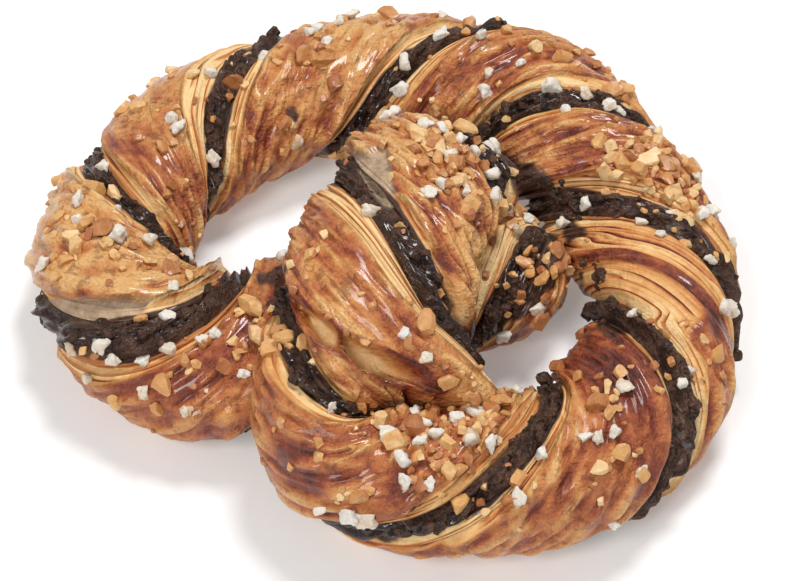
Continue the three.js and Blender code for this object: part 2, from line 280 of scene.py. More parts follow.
def section_points(rope, x, y):
    """Points of the section, x along the filling and y across it, for each row of the rope."""
    cos, sin = np.cos(rope["turn"]), np.sin(rope["turn"])
    sideways = x * cos - y * sin
    upwards = x * sin + y * cos
    sideways = sideways * (1 + rope["flare"] * np.maximum(-sideways, 0) / ROPE_RADIUS)
    points = rope["centre"][:, None] + sideways[..., None] * rope["side"][:, None]
    points = points + upwards[..., None] * rope["up"][:, None]
    points[..., 2] = np.maximum(points[..., 2], 0)
    away = np.linalg.norm(points - TIP_AT, axis=-1) / TIP_REACH
    drawn_out = np.maximum(1 - away, 0) ** TIP_TAPER * (rope["along"] > TIP_PAST)[:, None]
    return points + drawn_out[..., None] * TIP_SHIFT


def settle(points, along):
    """Pushes the upper length's points out of the strands that it lies on."""
    upper = along > UPPER_FROM
    moved = points[upper].reshape(-1, 3)
    for start, end in STRETCHES_BELOW:
        lower = rope_at(np.linspace(start, end, SEAT_PLACES))
        gaps = np.linalg.norm(moved[:, None] - lower["centre"][None], axis=2)
        nearest = gaps.argmin(axis=1)
        offset = moved - lower["centre"][nearest]
        side, up = lower["side"][nearest], lower["up"][nearest]
        x = (offset * side).sum(axis=1) / (side * side).sum(axis=1)
        y = (offset * up).sum(axis=1) / (up * up).sum(axis=1)
        reach = np.hypot(x, y)
        inside = (reach < SEAT_RADIUS) & (nearest > 0) & (nearest < SEAT_PLACES - 1)
        grow = (SEAT_RADIUS / np.maximum(reach, 1))[:, None]
        pushed = lower["centre"][nearest] + grow * (x[:, None] * side + y[:, None] * up)
        moved = np.where(inside[:, None], pushed, moved)
    settled = points.copy()
    settled[upper] = moved.reshape(points[upper].shape)
    return settled


# %% [markdown]
# A plain rope skin is built as a sighting surface: a ray through a pixel of the picture hits it where that
# pixel lies on the pretzel. It is only used for measuring. A BVH tree is Blender's fast way to cast many
# rays.

# %% Sighting surface
SIGHT_COLUMNS = 48
SIGHT_ROWS = 400
PATCH_DEPTH = 18
PATCH_SOFTNESS = 2
HALF_HEIGHT = 0.013
sight_rope = rope_at(np.linspace(0, LAST_GUIDE, SIGHT_ROWS))
sight_angles = np.linspace(0, 2 * np.pi, SIGHT_COLUMNS, endpoint=False)[None]
sight_x, sight_y = ROPE_RADIUS * np.cos(sight_angles), ROPE_RADIUS * np.sin(sight_angles)
sight_points = settle(section_points(sight_rope, sight_x, sight_y), sight_rope["along"])
sight_index = np.arange(sight_points.shape[0] * SIGHT_COLUMNS).reshape(-1, SIGHT_COLUMNS)
sight_next = np.roll(sight_index, -1, axis=1)
sight_faces = np.stack([sight_index[:-1], sight_next[:-1], sight_next[1:], sight_index[1:]], axis=-1)
sight_corners = (sight_points.reshape(-1, 3) * MM).tolist()
sight_tree = BVHTree.FromPolygons(sight_corners, sight_faces.reshape(-1, 4).tolist())


def sighted(u, v):
    """The point of the rope, in millimetres, that shows at a pixel of the picture or is closest to it."""
    ray = sight_line(u, v)
    hit = sight_tree.ray_cast(camera.location, ray)[0]
    if hit is None:
        at_half_height = camera.location + ray * ((HALF_HEIGHT - camera.location.z) / ray.z)
        hit = sight_tree.find_nearest(at_half_height)[0]
    return np.array(hit) / MM


def on_picture(points):
    """Where points lie in the picture, in pixels, and how far they are from the camera, in millimetres."""
    axes = np.array(camera.rotation_quaternion.to_matrix())
    right, up, back = np.moveaxis((points - np.array(camera.location) / MM) @ axes, -1, 0)
    pixels = PICTURE_WIDTH * LENS / SENSOR / -back
    return PICTURE_WIDTH / 2 + right * pixels, PICTURE_HEIGHT / 2 - up * pixels, -back


def outlined(points, outlines, ragged, grain):
    """How far, in pixels, points show inside outlines with clockwise corners, negative outside them.
    The outlines are ragged by some pixels, in a grain of some millimetres."""
    u, v, depth = on_picture(points)
    wander = ragged * soft_noise(points[..., 0] / grain, points[..., 1] / grain, points[..., 2] / grain)
    deepest = np.full(u.shape, -np.inf)
    for corners in outlines:
        inside = PATCH_DEPTH - np.abs(depth - on_picture(sighted(*np.mean(corners, axis=0)))[2])
        for (start_u, start_v), (end_u, end_v) in zip(corners, corners[1:] + corners[:1]):
            along_u, along_v = unit(np.array((end_u - start_u, end_v - start_v), dtype=float))
            inside = np.minimum(inside, along_u * (v - start_v) - along_v * (u - start_u))
        deepest = np.maximum(deepest, inside + wander)
    return deepest


def patched(points, outlines, ragged, grain):
    """A mask from 0 to 1 of the points inside the outlines."""
    return smooth_step(-PATCH_SOFTNESS, PATCH_SOFTNESS, outlined(points, outlines, ragged, grain))


print("front strand at", np.round(sighted(400, 450)), "mm")

# %% [markdown]
# Each pastry strip is a long sheet rolled into a D: a crown that browned under its glaze and two cut edges
# where the thin layers show. The sheet starts as one of bmesh's flat grids, and each of its vertices is
# moved to its place on the rope, so the grid's rows run along the strip as the layers of the dough do.
# Extruding a profile along a curve would give the same form, but then the relief couldn't follow the
# layers.

# %% A grid rolled onto the rope
CAP_ROWS = 7
CAP_BULGE = 2.5
SAME_PLACE = 1e-7


def rope_rows(spacing):
    """The rope at even steps of its length, with some extra rows on each end that close it."""
    lengths = np.linspace(0, ROPE_LENGTH, int(ROPE_LENGTH / spacing) + 1)
    lengths = np.concatenate([np.zeros(CAP_ROWS), lengths, np.full(CAP_ROWS, ROPE_LENGTH)])
    return rope_at(np.interp(lengths, FINE_LENGTHS, FINE_PLACES)), lengths


def close_ends(points, rope):
    """Draws the extra rows together into a rounded end."""
    closed = points.copy()
    for row in range(CAP_ROWS):
        angle = (row / CAP_ROWS) * math.pi / 2
        for place, outwards in ((row, -1), (len(points) - 1 - row, 1)):
            centre = points[place].mean(axis=0)
            bulge = outwards * CAP_BULGE * math.cos(angle) * rope["ahead"][place]
            closed[place] = centre + math.sin(angle) * (points[place] - centre) + bulge
    closed[..., 2] = np.maximum(closed[..., 2], 0)
    return closed


def rolled_sheet(name, points, values):
    """A mesh object from a flat grid whose vertices are moved to the points, with its seam and ends merged.
    values are attributes that the materials read: one number or vector for each vertex."""
    rows, columns = points.shape[:2]
    bm = bmesh.new()
    bmesh.ops.create_grid(bm, x_segments=columns - 1, y_segments=rows - 1, size=1)
    floats = {key: bm.verts.layers.float.new(key) for key in values if values[key].ndim == 2}
    vectors = {key: bm.verts.layers.float_vector.new(key) for key in values if values[key].ndim == 3}
    for vertex in bm.verts:
        column = round((vertex.co.x + 1) / 2 * (columns - 1))
        row = round((vertex.co.y + 1) / 2 * (rows - 1))
        for key, layer in floats.items():
            vertex[layer] = values[key][row, column]
        for key, layer in vectors.items():
            vertex[layer] = values[key][row, column]
        vertex.co = points[row, column] * MM
    bmesh.ops.remove_doubles(bm, verts=bm.verts, dist=SAME_PLACE)
    bmesh.ops.recalc_face_normals(bm, faces=bm.faces)
    mesh = bpy.data.meshes.new(name)
    bm.to_mesh(mesh)
    bm.free()
    mesh.polygons.foreach_set("use_smooth", np.ones(len(mesh.polygons), dtype=bool))
    piece = bpy.data.objects.new(name, mesh)
    bpy.context.collection.objects.link(piece)
    print(name, "faces:", len(mesh.polygons))
    return piece


# %% [markdown]
# The relief of a strip is a change of its radius. At a cut edge the dough lies in folds of a few
# millimetres, and each fold in thin sheets: pillows with narrow grooves between them, some of them split
# open. Over them the glazed skin ends in a small lip. The crown is blistered and wrinkled along the strip.
# On the crest of one strip the skin tore in the oven, so that it is layered all the way across.

# %% Forms of the dough
ROW_SPACING = 0.7
CROWN_COLUMNS = 104
INNER_COLUMNS = 6
SKIN_DROP = 0.7
SHOULDER_DROP = 2.3
SHOULDER_WIDTH = 6.5
EDGE_WIDTH = 4.2
FOLD_PITCH = 3.4
FOLD_RELIEF = 1.1
SHEET_PITCH = 1.5
SHEET_RELIEF = 0.1
SHEET_LIFT = 0.2
SPLIT_DEPTH = 0.7
SPLIT_WIDTH = 0.16
SKIN_LIP = 0.8
LIP_WIDTH = 0.7
LIP_START = 0.82
CHIP_HEIGHT = 1.1
RIDGE_HEIGHT = 0.9
WRINKLE_HEIGHT = 0.15
WRINKLE_SLANT = 0.25
# The usual size of the noise, from which it is counted where only its size matters
NOISE_SWING = 0.3
# How far the layers lie flat where they are drawn out into a wide fan, and the widths of such an edge
FAN_CALM = 0.75
FAN_WIDTHS = (7, 14)
# How far the parts of a strip are baked, from 0 for pale to 1 for dark
LAYER_BAKE = 0.07
CROWN_BAKE = 0.44
LIP_BAKE = 0.22
LIFTED_FOLD_BAKE = 0.4
FOLD_RIM_BAKE = 0.26
# How much darker the crown's hollows are: gathered glaze, and painted shade
HOLLOW_GLAZE_AND_SHADE = 0.34
# Uneven forms: height, lengths along and across the strip over which they vary, and a layer of the lattice
WAVES = {
    "wander": (2.0, 21, 8, 3.5),
    "small wander": (0.7, 6, 3, 5.5),
    "fan wander": (7, 17, 7, 51.5),
    "uneven sheets": (1.2, 30, 8, 13.5),
    "swell": (1.2, 30, 16, 0.5),
    "ridge": (1, 14, 6, 15.5),
    "hump": (0.7, 4.5, 3.6, 20.5),
    "blister": (1, 2.6, 1.9, 22.5),
    "crease": (1, 3.4, 1.8, 40.5),
    "fine": (0.24, 2.4, 1.3, 60.5),
}
# Stretches whose layered edges reach further up the crown: strip, edge, from guide, to guide, millimetres
WIDE_EDGES = [
    (1, "right", 12.1, 13.9, 13), (1, "left", 12.1, 13.9, 13), (0, "left", 18.8, 21.6, 5.0),
    (0, "right", 18.3, 21.2, -2.8), (1, "right", 19.6, 22.2, -2.4), (0, "right", 0, 1.3, 7),
    (0, "left", 11.2, 12.4, 2.0), (1, "left", 6.2, 7.9, 3.0), (1, "right", 6.2, 7.9, 2.0),
    (1, "left", 15.0, 17.2, 3.2), (1, "right", 15.0, 17.2, 2.4), (1, "left", 3.4, 4.8, 2.0),
]
# The lists that follow give stretches of a strip: strip, from guide, to guide, share
# Stretches that are baked paler or darker than the rest
BAKED = [
    (1, 6.3, 7.9, -0.15), (1, 12.1, 13.9, 0.22), (1, 15.0, 17.6, 0.09), (0, 18.6, 21.4, -0.06),
    (0, 13.8, 15.3, 0.22), (1, 2.4, 4.6, 0.08), (0, 4.4, 6.6, -0.22), (0, 8.0, 9.6, -0.16),
    (1, 20.0, 21.8, -0.04), (0, 11.2, 12.5, 0.08),
]
# Stretches with chips of nut under the glaze
CHIPPED = [
    (1, 15.0, 17.6, 1.1), (0, 4.6, 6.5, 0.7), (1, 2.2, 4.8, 0.5), (0, 11.0, 12.6, 0.6), (1, 20.8, 22.2, 0.8),
    (0, 7.8, 9.7, 0.3), (1, 9.6, 11.3, 0.5), (0, 13.8, 15.3, 0.25), (0, 18.4, 21.6, 0.2),
]
# Stretches whose crown stayed smooth
SMOOTH = [
    (1, 6.0, 8.1, 0.5), (0, 7.7, 9.9, 0.35), (0, 4.2, 6.7, 0.4), (1, 12.0, 14.0, 0.4), (0, 18.4, 21.6, 0.25),
    (1, 14.9, 17.7, 0.55), (0, 13.6, 15.4, 0.45), (1, 2.2, 4.8, 0.35), (0, 11.0, 12.6, 0.35),
]
# Stretches whose skin is wrinkled
WRINKLED = [(0, 18.4, 21.6, 0.7), (0, 11.0, 12.6, 0.8), (0, 4.6, 6.5, 0.6), (1, 20.5, 22.2, 0.8)]



def stretch(along, start, end, blend=0.4):
    """1 between two guides, fading to 0 outside them."""
    return smooth_step(start, start + blend, along) * (1 - smooth_step(end - blend, end, along))


def share_of(stretches, strip, along):
    """How strongly the listed stretches of a strip hold at places along it."""
    share = np.zeros_like(along)
    for which, start, end, amount in stretches:
        if which == strip:
            share = share + amount * stretch(along, start, end)
    return share


def wave(form, strip, length, across):
    """The height of one of the uneven forms, in millimetres."""
    height, along_wave, across_wave, layer = WAVES[form]
    return height * soft_noise(length / along_wave, across / across_wave, strip + layer)


print("stretches of the strips that differ:", len(WIDE_EDGES + BAKED + CHIPPED + SMOOTH + WRINKLED))

# %% [markdown]
# Now the forms are added up. Each is a plain formula of two lengths, along the strip and across it. The
# same formulas also say how dark the dough is: the layers stay pale, and glaze gathers in the hollows of
# the crown and bakes dark there. The hollows and creases of the crown are also darkened as painted shade,
# and its blisters and buried chips made paler as painted light. These masks are kept beside the radius, so
# that the finish fits the relief.

# %% Relief of a strip
columns = np.arange(CROWN_COLUMNS + 1) / CROWN_COLUMNS
crown_share = (0.5 * columns + 0.25 * (1 - np.cos(np.pi * columns)))[None]


def wavering_edge(rope, length):
    """The angle of the strips' edges, which gape a little more in some places than in others."""
    waver = 0.22 * soft_noise(length / 17, 0.5, 8.5) + 0.12 * soft_noise(length / 5, 2.5, 8.5)
    return rope["edge"] * (1 + waver)


def edge_width(strip, along, length, on_right, seed):
    """How far the cut layers reach up from an edge of the strip, in millimetres."""
    width = EDGE_WIDTH + 1.9 * soft_noise(length / 36, seed) + 0.9 * soft_noise(length / 6, seed, 2.5)
    for which, edge, start, end, extra in WIDE_EDGES:
        if which == strip:
            width = width + extra * stretch(along, start, end) * (on_right == (edge == "right"))
    return width


def strip_relief(strip, rope, length):
    """Radius of the strip over its crown, and the masks that its finish follows."""
    along, length = rope["along"][:, None], length[:, None]
    edge = wavering_edge(rope, length)
    angle = edge + crown_share * (np.pi - 2 * edge)
    from_right = ROPE_RADIUS * (angle - edge)
    from_left = ROPE_RADIUS * (np.pi - edge - angle)
    on_right = from_right < from_left
    seed = 10.5 * strip + np.where(on_right, 3.2, 7.9)
    up_edge = np.minimum(from_right, from_left)
    across = ROPE_RADIUS * angle
    width = edge_width(strip, along, length, on_right, seed)
    layered = 1 - smooth_step(LIP_START * width, width, up_edge)
    in_fan = FAN_CALM * smooth_step(*FAN_WIDTHS, width)
    drawn_up = 1 - in_fan

    wander = wave("wander", strip, length, across) + wave("small wander", strip, length, across)
    wander = wander + in_fan * wave("fan wander", strip, length, across)
    folds = (up_edge + wander) / FOLD_PITCH
    fold = np.floor(folds)
    in_fold = folds - fold
    fold_lift = soft_noise(length / 18, 2.9 * fold, strip + 7.5)
    fold_relief = FOLD_RELIEF * drawn_up * (0.4 - np.abs(2 * in_fold - 1.1) ** 2.5) * (0.8 + fold_lift)
    torn = drawn_up ** 2 * smooth_step(0.05, 0.4, soft_noise(length / 15, 5.3 * fold + 2, strip + 9.5))
    groove = np.exp(-((np.minimum(in_fold, 1 - in_fold) / SPLIT_WIDTH) ** 2))
    sheets = (up_edge + wander) / SHEET_PITCH * (0.4 + 0.6 * drawn_up)
    sheets = sheets + wave("uneven sheets", strip, length, across)
    pillow = 1 - np.abs(2 * (sheets - np.floor(sheets)) - 1) ** 3
    sheet_lift = soft_noise(length / 9, 3.7 * np.floor(sheets), strip + 11.5)
    sheet_relief = drawn_up * (SHEET_RELIEF * (pillow - 0.6) + SHEET_LIFT * sheet_lift)
    edge_relief = fold_relief + sheet_relief - SPLIT_DEPTH * torn * groove

    ridge = RIDGE_HEIGHT * (NOISE_SWING - np.abs(wave("ridge", strip, length, across + wander)))
    blister = wave("hump", strip, length, across) + wave("blister", strip, length, across)
    crease = NOISE_SWING - np.abs(wave("crease", strip, length, across + WRINKLE_SLANT * length))
    wrinkle = (WRINKLE_HEIGHT + share_of(WRINKLED, strip, along)) * crease
    chips = CHIP_HEIGHT * share_of(CHIPPED, strip, along) * buried_chips(length, across, 20 + 8 * strip)
    calm = 1 - share_of(SMOOTH, strip, along)
    crown_relief = calm * (ridge + blister + wrinkle) + chips
    lip = SKIN_LIP * smooth_step(width - 0.5, width + 0.2, up_edge)
    shoulder = SHOULDER_DROP * (1 - smooth_step(-1.0, SHOULDER_WIDTH, up_edge))
    radius = ROPE_RADIUS - SKIN_DROP - shoulder + wave("swell", strip, length, across) + lip
    radius = radius + layered * edge_relief + (1 - layered) * crown_relief
    radius = radius + wave("fine", strip, length, across)

    crown = smooth_step(width - 0.4, width + 1.4, up_edge)
    near_lip = np.exp(-(((up_edge - width) / LIP_WIDTH) ** 2))
    level = LAYER_BAKE + CROWN_BAKE * crown + LIP_BAKE * near_lip
    fold_bake = LIFTED_FOLD_BAKE * fold_lift + FOLD_RIM_BAKE * (in_fold ** 3 - 0.25)
    # Glaze gathered in the hollows; the darker hollows and creases and the paler blisters and chips are also
    # painted shade and painted light
    hollow_glaze_and_shade = -calm * (blister + 1.7 * wrinkle + 0.3 * ridge) - 0.8 * chips
    level = level + share_of(BAKED, strip, along) + layered * fold_bake + HOLLOW_GLAZE_AND_SHADE * crown * hollow_glaze_and_shade
    ragged = 2.4 * soft_noise(length / 7, seed, 6.5) + 1.0 * soft_noise(length / 2.6, seed, 9.5)
    masks = {
        "crown": crown,
        "layered": layered * (0.3 + 0.7 * drawn_up),
        "sheets": sheets,
        "bake": level,
        "split": layered * torn * groove,
        "stain": 1 - smooth_step(-0.3, 0.3, up_edge - 0.5 - ragged),
        "strip_place": np.stack(np.broadcast_arrays(length * MM, across * MM, 0.37 * strip), axis=-1),
    }
    return angle, radius, masks


# %% [markdown]
# The strip's section is closed by its inner face, which lies against the filling and hardly shows. Some
# things belong to one place only: smears of melted chocolate, raw dough, darker patches of the crown, dusty
# flour, and two pockets where the layers stand open. Each is an outline as the camera sees it, and the skin
# under it takes the mask. They could be painted by hand in Vertex Paint, but a mask from code is repeatable.

# %% Build the two pastry strips
# Patches of melted chocolate and of pale raw dough, outlined in pixels
CHOCOLATE_SMEARS = [
    [(500, 150), (524, 142), (548, 178), (600, 206), (628, 222), (612, 236), (570, 236), (520, 200)],
    [(578, 232), (606, 238), (600, 262), (594, 282), (612, 292), (606, 306), (586, 302), (578, 270)],
    [(462, 342), (484, 306), (506, 276), (540, 248), (556, 252), (554, 286), (530, 312), (492, 338)],
    [(258, 272), (284, 260), (288, 272), (276, 286), (256, 290)],
    [(288, 112), (296, 108), (302, 116), (296, 124), (289, 121)],
    [(582, 308), (606, 314), (626, 330), (612, 336), (588, 326)],
]
RAW_DOUGH = [
    [(62, 264), (104, 246), (160, 250), (236, 262), (246, 270), (150, 290), (64, 292)],
    [(150, 288), (244, 268), (246, 284), (200, 306), (152, 312), (120, 314)],
    [(450, 342), (470, 290), (488, 262), (500, 272), (476, 312)],
    [(488, 262), (508, 226), (534, 198), (546, 214), (500, 272)],
]
# Patches of the crown that are darker, outlined in pixels
DARKER_CROWN_PATCHES = [
    [(302, 222), (330, 228), (372, 266), (424, 336), (440, 366), (392, 346), (340, 318), (306, 284)],
    [(588, 330), (624, 344), (652, 420), (630, 470), (604, 430)],
    [(270, 420), (300, 424), (340, 470), (352, 512), (310, 500), (274, 462)],
    [(548, 138), (612, 138), (656, 176), (606, 190), (560, 166)],
]
# Where dusty flour was left, on flat dough
FLOUR_MARKS = [
    [(44, 298), (78, 297), (152, 296), (140, 316), (108, 326), (72, 322), (48, 314)],
    [(346, 152), (388, 141), (392, 175), (398, 208), (384, 203), (366, 187)],
]
# Where the layers of the leaf-shaped fold stand open
POCKETS = [
    [(291, 299), (318, 312), (338, 330), (341, 352), (318, 343), (296, 317)],
    [(342, 333), (380, 348), (418, 367), (438, 388), (395, 383), (360, 371), (344, 355)],
]
POCKET_DEPTH = 2.4
POCKET_BAKE = 0.08
POCKET_LIP_BAKE = 0.32
SLAB_DROP = 2.0
RAW_BAKE = -0.3
DARKER_PATCH_BAKE = 0.12
UNDERSIDE_BAKE = -0.14
UNDERSIDE_HEIGHTS = (2.5, 10)


def closing_face(x, y):
    """The inner face of a strip's section, from the end of its crown back to the start."""
    shares = (np.arange(1, INNER_COLUMNS) / INNER_COLUMNS)[None]
    down = 1 - shares
    half = FILLING_HALF_AT_AXIS
    inner_x = np.concatenate([x[:, -1:] * down, np.zeros_like(x[:, :1]), x[:, :1] * shares], axis=1)
    left_y = half + (y[:, -1:] - half) * down
    right_y = half + (y[:, :1] - half) * shares
    return inner_x, np.concatenate([left_y, np.full_like(x[:, :1], half), right_y], axis=1)


def strip_piece(strip, name, node):
    """One pastry strip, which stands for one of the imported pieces."""
    rope, length = rope_rows(ROW_SPACING)
    facing = 1 if strip == 0 else -1
    angle, radius, masks = strip_relief(strip, rope, length)
    x, y = radius * np.cos(angle), radius * np.sin(angle)
    skin = settle(section_points(rope, facing * x, facing * y), rope["along"])
    in_pocket = outlined(skin, POCKETS, 3, 2.5)
    pocket = smooth_step(-1, 5, in_pocket)
    pocket_lip = smooth_step(-7, -1, in_pocket) * (1 - pocket)
    thin_layers = soft_noise(length[:, None] / 9, ROPE_RADIUS * angle / 1.3, strip + 33.5)
    pocket_floor = ROPE_RADIUS - SHOULDER_DROP - POCKET_DEPTH + 0.2 * thin_layers
    radius = radius + pocket * (pocket_floor - radius) + 0.4 * POCKET_DEPTH * pocket_lip
    slab = patched(skin, FLOUR_MARKS, 1.5, 3)
    radius = radius + slab * (ROPE_RADIUS - SLAB_DROP - radius)
    in_layers = POCKET_BAKE + 0.15 * thin_layers
    masks["bake"] = masks["bake"] + pocket * (in_layers - masks["bake"]) + POCKET_LIP_BAKE * pocket_lip
    masks["crown"] = masks["crown"] * (1 - pocket)
    masks["layered"] = masks["layered"] * (1 - pocket)
    masks["flour"] = slab

    x, y = radius * np.cos(angle), radius * np.sin(angle)
    inner_x, inner_y = closing_face(x, y)
    x = np.concatenate([x, inner_x, x[:, :1]], axis=1)
    y = np.concatenate([y, inner_y, y[:, :1]], axis=1)
    points = settle(section_points(rope, facing * x, facing * y), rope["along"])
    points = close_ends(points, rope)
    hidden = x.shape[1] - radius.shape[1]
    values = {}
    for key, mask in masks.items():
        values[key] = np.concatenate([mask, np.repeat(mask[:, :1], hidden, axis=1)], axis=1)
    values["smear"] = np.maximum(values.pop("stain"), patched(points, CHOCOLATE_SMEARS, 9, 3.5))
    underside = 1 - smooth_step(*UNDERSIDE_HEIGHTS, points[..., 2])
    # The crown is darker inside the outlined patches
    darker_patches = values["crown"] * smooth_step(-6, 6, outlined(points, DARKER_CROWN_PATCHES, 16, 2.5))
    values["bake"] = values["bake"] + UNDERSIDE_BAKE * underside + DARKER_PATCH_BAKE * darker_patches
    values["bake"] = values["bake"] + RAW_BAKE * patched(points, RAW_DOUGH, 6, 2.5)
    piece = rolled_sheet(name, points, values)
    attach(piece, "root")
    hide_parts(node)
    return piece


crust_a = strip_piece(0, "pastry_crust_a", "pastry_strip_a")
crust_b = strip_piece(1, "pastry_crust_b", "pastry_strip_b")

# %% [markdown]
# The filling is a ribbon of chocolate and nut paste that runs through the rope and shows at both rims. It
# is another rolled grid, with most of its columns at the rims. There the paste is lumpy: it dried to crumbs
# where it stood out, and it stayed wet and sank where the strips sheltered it.

# %% Build the chocolate filling
RIM_COLUMNS = 26
FACE_COLUMNS = 6
FILLING_SPACING = 0.5
TUCK = 1.1
FACE_GAP = 0.2
RIM_RADIUS = ROPE_RADIUS - SHOULDER_DROP
RIM_BULGE = 0.4
RIM_DROP = 2.8
# Stretches where the paste stands out of the groove or has sunk into it: from guide, to guide, millimetres
PASTE_LEVELS = [(12.6, 14.8, 1.6), (2.6, 5.2, 0.8), (15, 16.4, 0.9), (7.8, 9.4, -1.0), (16.8, 19.6, -1.6)]
FLOURED_PASTE = [[(345, 150), (388, 140), (398, 168), (402, 212), (384, 204), (366, 186)]]


def filling_rim(side, rim, length, across, level):
    """Radius of the paste at one rim of the filling, and how wet it is there."""
    slow = 1.2 * soft_noise(length / 21, side + 0.5, 3.5)
    lumps = 2.8 * soft_noise(length / 3.8, across / 3.2, side + 11.5)
    clots = 2.6 * (np.abs(soft_noise(length / 2.2, across / 2.0, side + 31.5)) - NOISE_SWING)
    crumbs = 0.9 * soft_noise(length / 1.5, across / 1.3, side + 51.5)
    bulge = (level + slow + RIM_BULGE) * (1 - rim ** 2)
    radius = RIM_RADIUS + bulge + (1 - rim ** 4) * (lumps + clots + crumbs) - RIM_DROP * rim ** 8
    wet = smooth_step(-0.35, 0.35, soft_noise(length / 17, across / 5, side + 71.5) - 0.3 * level)
    return radius, wet


def filling_face(start_x, start_y, end_x, end_y, middle):
    """One of the filling's faces between its rims, drawn in to its thin middle."""
    shares = (np.arange(1, FACE_COLUMNS) / FACE_COLUMNS)[None]
    from_middle = np.abs(2 * shares - 1)
    rim_y = np.where(shares < 0.5, start_y, end_y)
    return start_x + (end_x - start_x) * shares, from_middle * rim_y + (1 - from_middle) * middle


def filling_piece():
    """The ribbon of paste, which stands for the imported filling."""
    rope, length = rope_rows(FILLING_SPACING)
    along, length = rope["along"][:, None], length[:, None]
    rim = np.linspace(-1, 1, RIM_COLUMNS + 1)[None]
    angle = rim * (wavering_edge(rope, length) + TUCK / ROPE_RADIUS)
    level = np.zeros_like(along)
    for start, end, height in PASTE_LEVELS:
        level = level + height * stretch(along, start, end)
    right, right_wet = filling_rim(0, rim, length, ROPE_RADIUS * angle, level)
    left, left_wet = filling_rim(1, rim, length, ROPE_RADIUS * angle, level)
    right_x, right_y = right * np.cos(angle), right * np.sin(angle)
    left_x, left_y = -left * np.cos(angle), -left * np.sin(angle)
    half = FILLING_HALF_AT_AXIS - FACE_GAP
    top_x, top_y = filling_face(right_x[:, -1:], right_y[:, -1:], left_x[:, :1], left_y[:, :1], half)
    low_x, low_y = filling_face(left_x[:, -1:], left_y[:, -1:], right_x[:, :1], right_y[:, :1], -half)

    def around(right_part, top_part, left_part, low_part):
        return np.concatenate([right_part, top_part, left_part, low_part, right_part[:, :1]], axis=1)

    x = around(right_x, top_x, left_x, low_x)
    y = around(right_y, top_y, left_y, low_y)
    points = close_ends(settle(section_points(rope, x, y), rope["along"]), rope)
    inner = np.zeros_like(top_x)
    shown = np.broadcast_to(1 - np.abs(rim), right.shape)
    values = {
        "wet": around(right_wet, inner, left_wet, inner),
        "rim": around(shown, inner, shown, inner),
        "flour": patched(points, FLOURED_PASTE, 3, 6),
    }
    piece = rolled_sheet("chocolate_paste", points, values)
    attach(piece, "root")
    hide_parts("chocolate_filling")
    return piece


paste = filling_piece()

# %% [markdown]
# The materials are built from nodes. A small class holds a node's output and lets it be added and
# multiplied like a number, so that a line of code reads as the sum that it makes. Each sign becomes a Math
# node, as if it had been added by hand. Colours are written as they look on a screen and turned to the
# linear values that shaders use.

# %% Node helpers
class Shade:
    """The output of a shader node, which adds, subtracts and multiplies like a number."""

    def __init__(self, node, output=0):
        self.tree = node.id_data
        self.socket = node.outputs[output]

    def __add__(self, other):
        return calculated("ADD", self, other)

    def __sub__(self, other):
        return calculated("SUBTRACT", self, other)

    def __rsub__(self, other):
        return calculated("SUBTRACT", other, self)

    def __mul__(self, other):
        return calculated("MULTIPLY", self, other)


def feed(node, inputs):
    """Sets a node's inputs, by name or number; a Shade is linked to its input."""
    for key, value in inputs.items():
        if isinstance(value, Shade):
            value.tree.links.new(value.socket, node.inputs[key])
        else:
            node.inputs[key].default_value = value


def add_node(tree, kind, inputs, **settings):
    """A new node with its settings and inputs."""
    node = tree.nodes.new(kind)
    for key, value in settings.items():
        setattr(node, key, value)
    feed(node, inputs)
    return node


def calculated(operation, first, second=0.0, clamp=False):
    """A Math node of two values, of which at least one is a Shade."""
    tree = first.tree if isinstance(first, Shade) else second.tree
    inputs = {0: first, 1: second}
    return Shade(add_node(tree, "ShaderNodeMath", inputs, operation=operation, use_clamp=clamp))


def mixed(factor, first, second):
    """Two colours mixed by a factor."""
    inputs = {0: factor, 6: first, 7: second}
    return Shade(add_node(factor.tree, "ShaderNodeMix", inputs, data_type="RGBA"), 2)


def ranged(value, low, high, to_low=0.0, to_high=1.0):
    """A value brought from one range to another, smoothly and without passing it."""
    inputs = {0: value, 1: low, 2: high, 3: to_low, 4: to_high}
    return Shade(add_node(value.tree, "ShaderNodeMapRange", inputs, interpolation_type="SMOOTHSTEP"))


def ramp(value, stops):
    """A colour ramp through stops: a place from 0 to 1 and a colour as it looks on a screen."""
    node = add_node(value.tree, "ShaderNodeValToRGB", {0: value})
    elements = node.color_ramp.elements
    while len(elements) < len(stops):
        elements.new(1.0)
    for element, (place, colour) in zip(elements, stops):
        element.position = place
        element.color = screen_colour(*colour)
    return Shade(node)


def noise(vector, scale, detail, **more):
    """Blender's noise texture at a place."""
    inputs = {"Vector": vector, "Scale": scale, "Detail": detail, **more}
    return Shade(add_node(vector.tree, "ShaderNodeTexNoise", inputs))


def bumped(height, strength, distance):
    """The surface's direction, tilted by a height whose full step is a distance in metres."""
    inputs = {"Strength": strength, "Distance": distance, "Height": height}
    return Shade(add_node(height.tree, "ShaderNodeBump", inputs))


def painted(tree, name, output="Fac"):
    """One of the masks that was painted on the mesh."""
    return Shade(add_node(tree, "ShaderNodeAttribute", {}, attribute_name=name), output)


def screen_colour(red, green, blue):
    """A colour as it looks on a screen, from 0 to 255, as a linear colour with full alpha."""
    linear = []
    for value in (red, green, blue):
        share = value / 255
        linear.append(share / 12.92 if share <= 0.04045 else ((share + 0.055) / 1.055) ** 2.4)
    return (*linear, 1.0)


def new_material(name):
    """A material and its shader, with no other nodes than the output."""
    material = bpy.data.materials.new(name)
    material.use_nodes = True
    tree = material.node_tree
    tree.nodes.clear()
    shader = tree.nodes.new("ShaderNodeBsdfPrincipled")
    output = tree.nodes.new("ShaderNodeOutputMaterial")
    tree.links.new(shader.outputs[0], output.inputs[0])
    return material, shader


